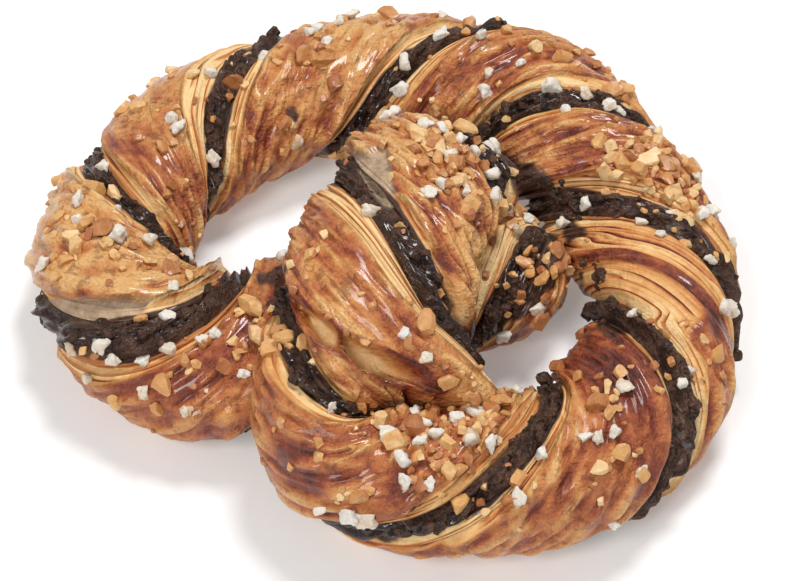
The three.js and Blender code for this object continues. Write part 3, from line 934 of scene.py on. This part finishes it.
def object_place(shader):
    """The object's own coordinates, for a shader's material."""
    return Shade(shader.id_data.nodes.new("ShaderNodeTexCoord"), "Object")


# %% [markdown]
# Two effects are shared by several materials, so each is a node group. Mottle is an uneven patchiness at
# two sizes, for browning and for the tone of nuts and sugar. Grain is the height of fine crumbs, for bump
# mapping.

# %% Shared node groups
def new_group(name, settings, result):
    """A shader node group with a vector and some numbers as inputs, and the Shades of those inputs."""
    group = bpy.data.node_groups.new(name, "ShaderNodeTree")
    group.interface.new_socket("Vector", in_out="INPUT", socket_type="NodeSocketVector")
    for label, value in settings.items():
        socket = group.interface.new_socket(label, in_out="INPUT", socket_type="NodeSocketFloat")
        socket.default_value = value
    group.interface.new_socket(result, in_out="OUTPUT", socket_type="NodeSocketFloat")
    entry = group.nodes.new("NodeGroupInput")
    return group, [Shade(entry, label) for label in ("Vector", *settings)]


def put_out(shade):
    """Makes a Shade the output of its node group."""
    feed(shade.tree.nodes.new("NodeGroupOutput"), {0: shade})


mottle, (vector, scale, contrast) = new_group("mottle", {"Scale": 100.0, "Contrast": 1.0}, "Value")
both_sizes = noise(vector, scale, 4.0) * 0.68 + noise(vector, scale * 3.7, 3.0) * 0.32
put_out(calculated("ADD", (both_sizes - 0.5) * contrast, 0.5, clamp=True))

grain, (vector, scale) = new_group("grain", {"Scale": 900.0}, "Height")
pits = Shade(add_node(grain, "ShaderNodeTexVoronoi", {"Vector": vector, "Scale": scale * 0.7}))
put_out(noise(vector, scale, 5.0, Roughness=0.62) + pits * 0.4)
print("node groups:", mottle.name, grain.name)


def mottled(vector, scale, contrast):
    """The patchiness at a place, with a number of patches to each metre."""
    inputs = {"Vector": vector, "Scale": scale, "Contrast": contrast}
    return Shade(add_node(vector.tree, "ShaderNodeGroup", inputs, node_tree=mottle))


def grained(vector, scale):
    """The height of fine crumbs at a place, with a number of crumbs to each metre."""
    inputs = {"Vector": vector, "Scale": scale}
    return Shade(add_node(vector.tree, "ShaderNodeGroup", inputs, node_tree=grain))


# %% [markdown]
# Baked crust runs from cream in the layers through gold to caramel on the crown. A single value, how far
# the dough is baked, goes through a colour ramp. It rises on the crown, wanders in blotches, and is drawn
# out along the strip in streaks, because the layers of the dough lie that way. The streaks read the strip's
# own coordinates, and the blotches the object's. Egg glaze is a coat over the crown.

# %% Crust material
CRUST_TONES = [
    (0.0, (243, 207, 150)), (0.2, (230, 178, 114)), (0.4, (211, 144, 83)),
    (0.58, (187, 108, 60)), (0.76, (144, 67, 42)), (1.0, (84, 36, 29)),
]
# Caramelised spots, and dark streaks along the crown that are painted shade of cracks and of gaps between
# nuts
CARAMEL_AND_CRACK_SHADE = screen_colour(92, 38, 26)
# Painted shade in the split grooves between the layers
SPLIT_SHADE_TONE = screen_colour(150, 92, 52)
DUSTY_TONES = screen_colour(166, 138, 110), screen_colour(208, 180, 150)
SMEAR_TONES = screen_colour(46, 25, 17), screen_colour(98, 62, 46)
BAKE_OFFSET = 0.255
CRUST_BUMP = 0.0006


def crust_material():
    material, shader = new_material("glazed_crust")
    where = object_place(shader)
    tree = where.tree
    place = painted(tree, "strip_place", "Vector")
    crown = painted(tree, "crown")
    layered = painted(tree, "layered")
    sheets = painted(tree, "sheets")
    smear = painted(tree, "smear")
    flour = painted(tree, "flour")

    def streaks(along_scale, across_scale, detail):
        """Noise that is drawn out along the strip."""
        inputs = {"Vector": place, "Scale": (along_scale, across_scale, 40)}
        stretched = Shade(add_node(tree, "ShaderNodeMapping", inputs))
        return ranged(noise(stretched, 1.0, detail, Distortion=0.4), 0.3, 0.7)

    cloud = streaks(64, 110, 4.0)
    thin_streak = streaks(120, 700, 2.0) * layered
    blotch = mottled(where, 70.0, 3.0)
    spots = mottled(where, 300.0, 3.0)
    fleck = mottled(where, 520.0, 2.4)
    parts = add_node(tree, "ShaderNodeSeparateXYZ", {0: place})
    sheet_number = calculated("FLOOR", sheets) * 7.31
    sheet_place = {0: Shade(parts, 0) * 70.0, 1: sheet_number, 2: Shade(parts, 2)}
    sheet_noise = noise(Shade(add_node(tree, "ShaderNodeCombineXYZ", sheet_place)), 1.0, 2.0)
    # Each sheet darkens and sinks steeply towards its upper rim
    across_sheet = calculated("FRACT", sheets)
    seam = calculated("POWER", across_sheet * 2.0 + 0.5, 4.0) * layered * ranged(sheet_noise, 0.35, 0.65)

    bake = painted(tree, "bake") + cloud * 0.13 + thin_streak * 0.08 + fleck * 0.2
    bake = bake + blotch * ranged(crown, 0, 1, 0.08, 0.3)
    bake = bake + (sheet_noise - 0.5) * layered * 0.4 + seam * 0.07
    bake = calculated("SUBTRACT", bake, BAKE_OFFSET, clamp=True)
    bake = calculated("MINIMUM", bake, ranged(layered, 0.3, 1.0, 1.0, 0.5))
    bake = calculated("MAXIMUM", bake, ranged(crown, 0.3, 1.0, 0.0, 0.2))
    # Caramel spots, and dark streaks drawn out along the strip that are painted shade of cracks
    caramel_and_crack_shade = calculated("MAXIMUM", ranged(spots, 0.6, 0.9), ranged(streaks(190, 300, 3.0), 0.88, 1.0))
    dough = mixed(caramel_and_crack_shade * ranged(crown, 0.2, 0.9, 0.0, 0.48), ramp(bake, CRUST_TONES), CARAMEL_AND_CRACK_SHADE)
    # The split grooves between the layers get painted shade
    dough = mixed(painted(tree, "split") * 0.35, dough, SPLIT_SHADE_TONE)
    dough = mixed(flour, dough, mixed(spots, *DUSTY_TONES))
    glaze = ranged(crown, 0.1, 1, 0.02, 0.62) * ranged(blotch, 0.25, 0.7, 0.3, 1)
    height = cloud + thin_streak * 0.3 - seam * 0.05 + mottled(where, 430.0, 1.0) * 2.0
    height = height + grained(where, 1300.0) * ranged(crown, 0, 1, 0.4, 0.1)
    feed(shader, {
        "Base Color": mixed(smear, dough, mixed(spots, *SMEAR_TONES)),
        "Roughness": ranged(crown, 0, 1, 0.6, 0.4) + flour * 0.35,
        "Coat Weight": calculated("MAXIMUM", glaze, smear * 0.6),
        "Coat Roughness": 0.13,
        "Specular IOR Level": 0.3,
        "Normal": bumped(height * ranged(crown, 0, 1, 0.7, 1.6), 1.0, CRUST_BUMP),
    })
    return material


crust = crust_material()
for piece in (crust_a, crust_b):
    piece.data.materials.append(crust)
print("nodes of the crust:", len(crust.node_tree.nodes))

# %% [markdown]
# Chocolate paste is almost black where it is wet, and a dull grey-brown where it dried to crumbs. The
# painted wetness drives its roughness and a clear coat, and the shared grain gives it crumbs finer than the
# mesh. Its patches of tone also raise the bump, so the paste is painted lighter on its crests and darker in
# its hollows: painted light and painted shade.

# %% Chocolate material
# Tones from dark to light, picked by patches that also raise the bump: painted shade in hollows, painted
# light on crests
DRY_TONES_AND_SHADE = screen_colour(44, 23, 15), screen_colour(124, 86, 66)
WET_TONES_AND_SHADE = screen_colour(30, 13, 8), screen_colour(84, 50, 36)
FLOURED_TONES = screen_colour(138, 116, 92), screen_colour(184, 162, 132)
PASTE_BUMP = 0.0024


def chocolate_material():
    material, shader = new_material("chocolate_paste")
    where = object_place(shader)
    wet = painted(where.tree, "wet")
    flour = painted(where.tree, "flour")
    # The patch sets both the tone and the bump, so crests are painted lighter and hollows darker: painted
    # light and painted shade
    patch = mottled(where, 330.0, 3.4)
    paste_tone_and_shade = mixed(wet, mixed(patch, *DRY_TONES_AND_SHADE), mixed(patch, *WET_TONES_AND_SHADE))
    gloss = wet * (1.0 - flour)
    height = grained(where, 420.0) + grained(where, 1500.0) * ranged(gloss, 0, 1, 0.5, 0.25) + patch
    feed(shader, {
        "Base Color": mixed(flour, paste_tone_and_shade, mixed(patch, *FLOURED_TONES)),
        "Roughness": ranged(gloss, 0, 1, 0.56, 0.24),
        "Coat Weight": ranged(gloss, 0, 1, 0.12, 0.85),
        "Coat Roughness": 0.15,
        "Specular IOR Level": 0.45,
        "Normal": bumped(height * ranged(flour, 0, 1, 1, 0.25), 1.0, PASTE_BUMP),
    })
    return material


chocolate = chocolate_material()
paste.data.materials.append(chocolate)
print("nodes of the chocolate:", len(chocolate.node_tree.nodes))

# %% [markdown]
# Chopped nuts are hard chips with flat broken faces. A chip starts as a bmesh icosphere, and plane cuts
# slice pieces off it, as a knife does. A dozen or so are enough, because each copy is turned and scaled in
# its own way. Pearl sugar is pressed from crystals, and dry paste crumbles, so both make round, rough
# lumps: an icosphere that is flattened in a few directions and roughened by the noise.

# %% Shapes of a nut chip and of a rough lump
NUT_SHAPES = 14
LUMP_SHAPES = 10
# A nut chip, in shares of its width: the round kernel, its slices, and how large a broken face is
KERNEL_RADIUS = 0.55
KERNEL_WIDTHS = (0.45, 0.8)
KERNEL_HEIGHTS = (0.3, 0.6)
SLICES = (7, 10)
SLICE_DEPTHS = (0.16, 0.34)
FLAT_ANGLE = 0.4
BROKEN_AREA = 0.06
# A lump, in shares of its width: the ball, its flat sides and its rough skin
LUMP_RADIUS = 0.5
FLAT_SIDES = 4
FLAT_DEPTHS = (0.22, 0.36)
LUMP_WIDTHS = (0.75, 1)
LUMP_HEIGHTS = (0.6, 0.9)
dice = np.random.default_rng(5)


def random_direction():
    return Vector(unit(dice.normal(size=3)))


def corners_and_faces(bm):
    bm.verts.index_update()
    corners = np.array([vertex.co for vertex in bm.verts])
    return corners, np.array([[vertex.index for vertex in face.verts] for face in bm.faces])


def nut_chip():
    """A sliced chip about one unit across: its corners, its triangles, and which of them are broken faces."""
    bm = bmesh.new()
    bmesh.ops.create_icosphere(bm, subdivisions=2, radius=KERNEL_RADIUS)
    bmesh.ops.scale(bm, vec=(1, dice.uniform(*KERNEL_WIDTHS), dice.uniform(*KERNEL_HEIGHTS)), verts=bm.verts)
    for _ in range(dice.integers(*SLICES)):
        direction = random_direction()
        place = direction * dice.uniform(*SLICE_DEPTHS)
        parts = bm.verts[:] + bm.edges[:] + bm.faces[:]
        cut = bmesh.ops.bisect_plane(bm, geom=parts, plane_co=place, plane_no=direction, clear_outer=True)
        rim = [part for part in cut["geom_cut"] if isinstance(part, bmesh.types.BMEdge)]
        bmesh.ops.holes_fill(bm, edges=rim, sides=0)
    bmesh.ops.dissolve_limit(bm, angle_limit=FLAT_ANGLE, verts=bm.verts, edges=bm.edges)
    broken = bm.faces.layers.int.new("broken")
    for face in bm.faces:
        face[broken] = 1 if face.calc_area() > BROKEN_AREA else 0
    bmesh.ops.triangulate(bm, faces=bm.faces)
    rough = {"fractal": 0.35, "along_normal": 0.2, "seed": int(dice.integers(1000))}
    bmesh.ops.subdivide_edges(bm, edges=bm.edges, cuts=1, use_grid_fill=True, **rough)
    bmesh.ops.triangulate(bm, faces=bm.faces)
    bmesh.ops.recalc_face_normals(bm, faces=bm.faces)
    corners, faces = corners_and_faces(bm)
    fresh = np.array([face[broken] for face in bm.faces], dtype=float)
    bm.free()
    return corners, faces, fresh


def rough_lump(subdivisions):
    """A rough lump about one unit across, its faces, and how bare of glaze each face is."""
    bm = bmesh.new()
    bmesh.ops.create_icosphere(bm, subdivisions=subdivisions, radius=LUMP_RADIUS)
    corners, faces = corners_and_faces(bm)
    bm.free()
    for _ in range(FLAT_SIDES):
        direction = np.array(random_direction())
        past = np.maximum(corners @ direction - dice.uniform(*FLAT_DEPTHS), 0)
        corners = corners - past[:, None] * direction
    shift = dice.uniform(0, 40, 3)
    rough = 0.34 * soft_noise(*(corners * 3.2 + shift).T) + 0.2 * soft_noise(*(corners * 7.5 + shift).T)
    squashed = (1, dice.uniform(*LUMP_WIDTHS), dice.uniform(*LUMP_HEIGHTS))
    return corners * (1 + rough)[:, None] * squashed, faces, np.ones(len(faces))


nut_shapes = [nut_chip() for _ in range(NUT_SHAPES)]
sugar_shapes = [rough_lump(subdivisions=3) for _ in range(LUMP_SHAPES)]
paste_shapes = [rough_lump(subdivisions=2) for _ in range(LUMP_SHAPES)]
print("triangles of the nut chips:", [len(shape[1]) for shape in nut_shapes])

# %% [markdown]
# A ray that meets the dough or the filling tells where a chip can lie and which way is up there. All chips
# of a kind are joined into one mesh from arrays, which is far quicker than hundreds of objects. Every chip
# carries a tint, so that the material can tell a dark glazed nut from a pale one.

# %% Ways to find a place and to lay chips
LEAN = 0.35
SMALL_BIAS = 1.7


def carrier(piece):
    """A piece that chips can lie on, ready for rays."""
    return BVHTree.FromObject(piece, bpy.context.evaluated_depsgraph_get())


bpy.context.view_layer.update()
carriers = [carrier(piece) for piece in (crust_a, crust_b, paste)]


def landing(start, direction):
    """The first point of the dressed rope on a ray, the surface's direction there, and how far away it is."""
    best = None
    for tree in carriers:
        place, normal, _, far = tree.ray_cast(start, direction)
        if place is not None and (best is None or far < best[2]):
            best = (place, normal, far)
    return best


def size_between(limits):
    """A size in metres: most pieces are small and a few are large."""
    low, high = limits
    return (low + (high - low) * dice.uniform() ** SMALL_BIAS) * MM


def lay_at_pixel(laid, u, v, limits):
    """Adds a place, a direction and a size to the laid ones, where a pixel of the picture shows the rope."""
    found = landing(camera.location, sight_line(u, v))
    if found:
        laid.append((found[0], found[1], size_between(limits)))


def lay_toppings(name, shapes, laid, smooth, sunk):
    """One piece of all laid chips, each turned at random and sunk by a share of its size."""
    corner_parts, face_parts, tint_parts, fresh_parts = [], [], [], []
    count = 0
    for place, normal, size in laid:
        corners, faces, fresh = shapes[dice.integers(len(shapes))]
        spin = Matrix.Rotation(dice.uniform(0, 2 * math.pi), 3, "Z")
        lean = Matrix.Rotation(dice.normal(0, LEAN), 3, "X")
        turn = np.array(normal.to_track_quat("Z", "Y").to_matrix() @ lean @ spin)
        lifted = corners - (0, 0, corners[:, 2].min() + sunk)
        corner_parts.append(lifted * size @ turn.T + np.array(place))
        face_parts.append(faces + count)
        tint_parts.append(np.full(len(faces), dice.uniform()))
        fresh_parts.append(fresh)
        count += len(corners)
    corners, faces = np.concatenate(corner_parts), np.concatenate(face_parts)
    corners[:, 2] = np.maximum(corners[:, 2], 0)
    mesh = bpy.data.meshes.new(name)
    mesh.from_pydata(corners.tolist(), [], faces.tolist())
    for key, parts in (("tint", tint_parts), ("fresh", fresh_parts)):
        layer = mesh.attributes.new(key, "FLOAT", "FACE")
        layer.data.foreach_set("value", np.concatenate(parts).astype(np.float32))
    mesh.polygons.foreach_set("use_smooth", np.full(len(mesh.polygons), smooth))
    piece = bpy.data.objects.new(name, mesh)
    bpy.context.collection.objects.link(piece)
    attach(piece, "root")
    print(name, "triangles:", len(mesh.polygons))
    return piece


# %% [markdown]
# The paste crumbles where it swelled out of the rope, and crumbs of it stick to the smears. Relief alone
# can't overhang, so lumps of paste are set half into the filling's rims and into the smeared dough. The
# faces are drawn by their area, so that the lumps lie evenly, and they share the filling's material.

# %% Lay the lumps of paste
PASTE_LUMPS = 1300
PIXELS_PER_LUMP = 90
LUMP_SIZE = (1.2, 3.8)
LUMP_SUNK = 0.52
RIM_FROM = 0.16
MOST_FLOUR = 0.5

shown = paste.data.attributes["rim"].data
floured = paste.data.attributes["flour"].data
bare_rims = []
for face in paste.data.polygons:
    corner = face.vertices[0]
    if shown[corner].value > RIM_FROM and floured[corner].value < MOST_FLOUR:
        bare_rims.append(face)
areas = np.array([face.area for face in bare_rims])
lumps_laid = []
for face in dice.choice(bare_rims, PASTE_LUMPS, replace=False, p=areas / areas.sum()):
    lumps_laid.append((face.center, face.normal, size_between(LUMP_SIZE)))
for corners in CHOCOLATE_SMEARS:
    u, v = np.array(corners).T
    area = abs(u @ np.roll(v, 1) - v @ np.roll(u, 1)) / 2
    for share in dice.dirichlet(np.ones(len(corners)), int(area / PIXELS_PER_LUMP)):
        lay_at_pixel(lumps_laid, *(share @ corners), LUMP_SIZE)
paste_lumps = lay_toppings("paste_lumps", paste_shapes, lumps_laid, True, LUMP_SUNK)
paste_lumps.data.materials.append(chocolate)
carriers.append(carrier(paste_lumps))

# %% [markdown]
# The toppings lie where the photograph shows them. Each is given as a pixel, and later a ray from the
# camera through that pixel finds the dough or the filling under it, so that every chip sits on what carries
# it. Geometry Nodes could scatter them evenly, but here they belong in known places.

# %% Where the toppings lie
# Pixels of the picture
NUTS = [
    # upper left bend
    (194, 49), (142, 76), (139, 90), (124, 109), (140, 108), (192, 75), (161, 146), (172, 187),
    (277, 62), (282, 124), (251, 139), (305, 56), (315, 60), (322, 62), (335, 84), (299, 27),
    (231, 82), (236, 80), (229, 97), (245, 87),
    # left bend
    (90, 187), (115, 192), (102, 231), (77, 246), (62, 215), (55, 235), (65, 262), (56, 258),
    (115, 257), (150, 261), (171, 261), (189, 250), (245, 252), (108, 240), (189, 277), (85, 225),
    (70, 235), (130, 247), (225, 258),
    # left lower strand and crossing
    (85, 352), (96, 355), (185, 361), (165, 389), (157, 407), (114, 401), (220, 367), (250, 310),
    (256, 321), (235, 340), (256, 337), (276, 331), (285, 339), (271, 352), (290, 347), (302, 341),
    (240, 352), (282, 422), (265, 471), (270, 487),
    # back of the loop
    (372, 22), (382, 6), (390, 16), (435, 17), (479, 11), (442, 68), (505, 32), (499, 85),
    (536, 50), (552, 44), (562, 62), (577, 64), (587, 54), (597, 65), (619, 76), (612, 91),
    (627, 90), (569, 89), (392, 107), (330, 50),
    # right of the loop
    (505, 119), (600, 141), (610, 157), (630, 145), (657, 140), (647, 160), (635, 167), (605, 171),
    (667, 155), (680, 162), (665, 180), (702, 175), (692, 195), (705, 200), (717, 204), (685, 245),
    (727, 258), (661, 334), (717, 351), (722, 377), (620, 150), (640, 150), (655, 172), (675, 175),
    (622, 165), (690, 170), (726, 398), (660, 391), (612, 148), (628, 158), (645, 142), (652, 150),
    (662, 165), (672, 168), (684, 180), (697, 188), (640, 172), (618, 172), (650, 182), (676, 190),
    (708, 190), (694, 205), (668, 196),
    # front of the right loop
    (566, 356), (621, 349), (600, 377), (622, 374), (595, 391), (612, 400), (610, 412), (620, 455),
    (639, 450), (596, 471), (640, 474), (607, 388), (600, 404), (557, 368),
    # front strand
    (360, 407), (392, 416), (435, 415), (472, 397), (490, 404), (482, 421), (395, 442), (450, 445),
    (467, 459), (447, 471), (421, 489), (319, 457), (370, 490), (356, 495), (486, 486), (517, 480),
    (460, 505), (512, 501), (405, 428), (445, 427), (460, 431), (477, 431), (378, 420), (498, 398),
    (402, 412), (415, 432), (430, 418), (452, 410), (470, 425), (488, 415), (440, 455), (410, 470),
    (458, 470),
    # upper end
    (295, 225), (291, 265), (295, 289), (311, 256), (334, 155), (426, 325), (372, 307), (447, 380),
    (474, 397), (401, 225), (430, 147), (432, 127), (445, 118), (422, 135), (452, 140), (437, 160),
    (447, 172), (457, 165), (467, 172), (475, 140), (432, 178), (455, 183), (470, 205), (467, 217),
    (491, 240), (500, 205), (420, 120), (480, 165), (440, 150), (462, 128), (412, 128), (418, 140),
    (428, 150), (436, 138), (448, 128), (455, 150), (465, 150), (470, 160), (462, 178), (446, 185),
    (424, 165), (415, 150),
    # lower end
    (557, 251), (530, 272), (542, 280), (557, 267), (566, 271), (537, 320), (548, 260), (520, 215),
    (513, 225), (523, 262), (562, 262), (570, 285), (520, 300), (545, 300),
]
SUGARS = [
    (210, 76), (172, 120), (178, 128), (297, 142), (216, 157), (105, 168), (80, 199), (120, 209),
    (79, 219), (149, 242), (117, 236), (46, 266), (195, 260), (212, 253), (204, 258), (171, 287),
    (69, 349), (104, 346), (115, 356), (145, 364), (174, 354), (202, 342), (214, 335), (90, 377),
    (145, 389), (187, 410), (244, 376), (307, 35), (317, 30), (328, 42), (340, 25), (352, 18),
    (365, 14), (402, 6), (420, 10), (442, 15), (442, 37), (404, 62), (401, 90), (520, 64),
    (479, 36), (489, 76), (484, 96), (550, 87), (586, 94), (610, 107), (620, 112), (565, 111),
    (652, 160), (692, 177), (700, 215), (710, 213), (640, 225), (659, 234), (712, 256), (564, 226),
    (634, 316), (719, 307), (682, 384), (625, 389), (585, 441), (600, 437), (616, 435), (614, 524),
    (331, 174), (372, 206), (405, 333), (426, 357), (426, 125), (442, 130), (461, 141), (450, 153),
    (474, 154), (491, 148), (491, 176), (427, 195), (440, 187), (465, 191), (495, 195), (527, 220),
    (515, 232), (536, 308), (559, 316), (537, 330), (505, 333), (414, 414), (457, 420), (475, 412),
    (386, 436), (425, 427), (439, 435), (420, 442), (467, 440), (487, 442), (400, 457), (409, 481),
    (429, 480), (321, 509), (350, 514), (366, 517), (521, 498), (545, 457), (640, 472), (330, 406),
]
print("nuts and sugar lumps that show:", len(NUTS), len(SUGARS))

# %% [markdown]
# Around the nuts lie smaller crumbs of them, at random. On the sides that the camera can't see, toppings
# are scattered at about the same density: they are dropped from above, and those that would show are left
# out, because the picture already says what lies there.

# %% Lay the nuts and the sugar
NUT_SIZE = (2.8, 6.8)
CRUMB_SIZE = (1.5, 3.6)
SUGAR_SIZE = (2.8, 4.8)
MOST_CRUMBS = 4
CRUMB_REACH = 18
SCATTER_TRIES = 900
DROP_HEIGHT = 0.1
SEEN_WITHIN = 0.0015
NUT_SHARE = 0.68
SUNK = 0.12

nuts_laid, sugars_laid = [], []
for u, v in NUTS:
    places = [(u, v, NUT_SIZE)]
    for _ in range(dice.integers(0, MOST_CRUMBS + 1)):
        places.append((u + dice.normal(0, CRUMB_REACH), v + dice.normal(0, CRUMB_REACH), CRUMB_SIZE))
    for place in places:
        lay_at_pixel(nuts_laid, *place)
for u, v in SUGARS:
    lay_at_pixel(sugars_laid, u, v, SUGAR_SIZE)

for _ in range(SCATTER_TRIES):
    x = dice.uniform(cad_low[0], cad_high[0])
    y = dice.uniform(cad_low[1], cad_high[1])
    found = landing(Vector((x, y, DROP_HEIGHT)), Vector((0, 0, -1)))
    if not found:
        continue
    towards = found[0] - camera.location
    seen = landing(camera.location, towards.normalized())
    if seen and seen[2] > towards.length - SEEN_WITHIN:
        continue
    if dice.uniform() < NUT_SHARE:
        nuts_laid.append((found[0], found[1], size_between(NUT_SIZE)))
    else:
        sugars_laid.append((found[0], found[1], size_between(SUGAR_SIZE)))
print("nuts:", len(nuts_laid), "sugar lumps:", len(sugars_laid))
nuts = lay_toppings("chopped_nuts", nut_shapes, nuts_laid, False, SUNK)
sugars = lay_toppings("pearl_sugar", sugar_shapes, sugars_laid, True, SUNK)

# %% [markdown]
# Roasted nuts are cream inside and brown outside, and some of them are glazed. One tint for each chip goes
# through a colour ramp, and its freshly broken faces are paler. Sugar is nearly white, with stains where
# the glaze soaked in. The fine grain that both need is a bump from the shared noise.

# %% Nut and sugar materials
NUT_TONES = [(0.0, (240, 208, 156)), (0.35, (222, 170, 106)), (0.7, (204, 142, 82)), (1.0, (172, 104, 58))]
NUT_BUMP = 0.0006
SUGAR_TONES = screen_colour(232, 218, 198), screen_colour(250, 244, 234)
SUGAR_STAIN = screen_colour(214, 178, 138)
SUGAR_BUMP = 0.0007


def nut_material():
    material, shader = new_material("roasted_nut")
    where = object_place(shader)
    tint = painted(where.tree, "tint")
    fresh = painted(where.tree, "fresh")
    patch = mottled(where, 420.0, 2.2)
    tone = tint + (patch - 0.5) * 0.45
    tone = calculated("ADD", tone, ranged(fresh, 0, 1, 0.1, 0.04), clamp=True)
    feed(shader, {
        "Base Color": ramp(tone, NUT_TONES),
        "Roughness": ranged(patch, 0.2, 0.8, 0.38, 0.62),
        "Coat Weight": ranged(tint, 0.2, 0.9, 0.1, 0.45),
        "Coat Roughness": 0.22,
        "Normal": bumped(grained(where, 800.0), 0.6, NUT_BUMP),
    })
    return material


def sugar_material():
    material, shader = new_material("pressed_sugar")
    where = object_place(shader)
    patch = mottled(where, 380.0, 2.2)
    stain = ranged(painted(where.tree, "tint"), 0.55, 1.0) * ranged(patch, 0.3, 0.7)
    feed(shader, {
        "Base Color": mixed(stain, mixed(patch, *SUGAR_TONES), SUGAR_STAIN),
        "Roughness": ranged(patch, 0.2, 0.8, 0.55, 0.8),
        "Subsurface Weight": 0.35,
        "Subsurface Radius": (1, 0.9, 0.8),
        "Subsurface Scale": 0.002,
        "Normal": bumped(grained(where, 1100.0), 0.9, SUGAR_BUMP),
    })
    return material


for piece, material in ((nuts, nut_material()), (sugars, sugar_material())):
    piece.data.materials.append(material)
    print("nodes of", material.name, len(material.node_tree.nodes))

# %% [markdown]
# The pastry lies on a plain pale floor. In a studio, a large soft lamp behind it draws highlights along the
# glaze, and a weaker one in front opens the shadows. The floor glows a little, as a lit table does, so that
# it stays white.

# %% Floor and light
FLOOR_HALF = 3
FLOOR_TONE = (0.86, 0.86, 0.86, 1)
FLOOR_ROUGHNESS = 0.9
FLOOR_GLOW = 0.2
WHITE = (1, 1, 1, 1)
SKY = 0.3
AIM = Vector((0, 0, 0.01))
# Place and size in metres, and power in watts
LAMPS = {"key": ((0.2, 0.36, 1.0), 0.35, 7.6), "fill": ((-0.35, -0.6, 0.8), 0.4, 4.6)}

floor_mesh = bpy.data.meshes.new("floor")
bm = bmesh.new()
bmesh.ops.create_grid(bm, x_segments=1, y_segments=1, size=FLOOR_HALF)
bm.to_mesh(floor_mesh)
bm.free()
floor = bpy.data.objects.new("floor", floor_mesh)
bpy.context.collection.objects.link(floor)
floor_material, floor_shader = new_material("pale_floor")
feed(floor_shader, {"Base Color": FLOOR_TONE, "Roughness": FLOOR_ROUGHNESS})
feed(floor_shader, {"Emission Color": WHITE, "Emission Strength": FLOOR_GLOW})
floor.data.materials.append(floor_material)

for name, (place, size, power) in LAMPS.items():
    lamp_data = bpy.data.lights.new(name, "AREA")
    lamp_data.shape = "DISK"
    lamp_data.size = size
    lamp_data.energy = power
    lamp = bpy.data.objects.new(name, lamp_data)
    lamp.location = place
    lamp.rotation_mode = "QUATERNION"
    lamp.rotation_quaternion = (AIM - lamp.location).to_track_quat("-Z", "Y")
    bpy.context.collection.objects.link(lamp)
world = bpy.data.worlds.new("studio")
world.use_nodes = True
feed(world.node_tree.nodes["Background"], {0: WHITE, 1: SKY})
bpy.context.scene.world = world
bpy.context.scene.view_settings.view_transform = "Standard"
print("lamps:", sorted(LAMPS))
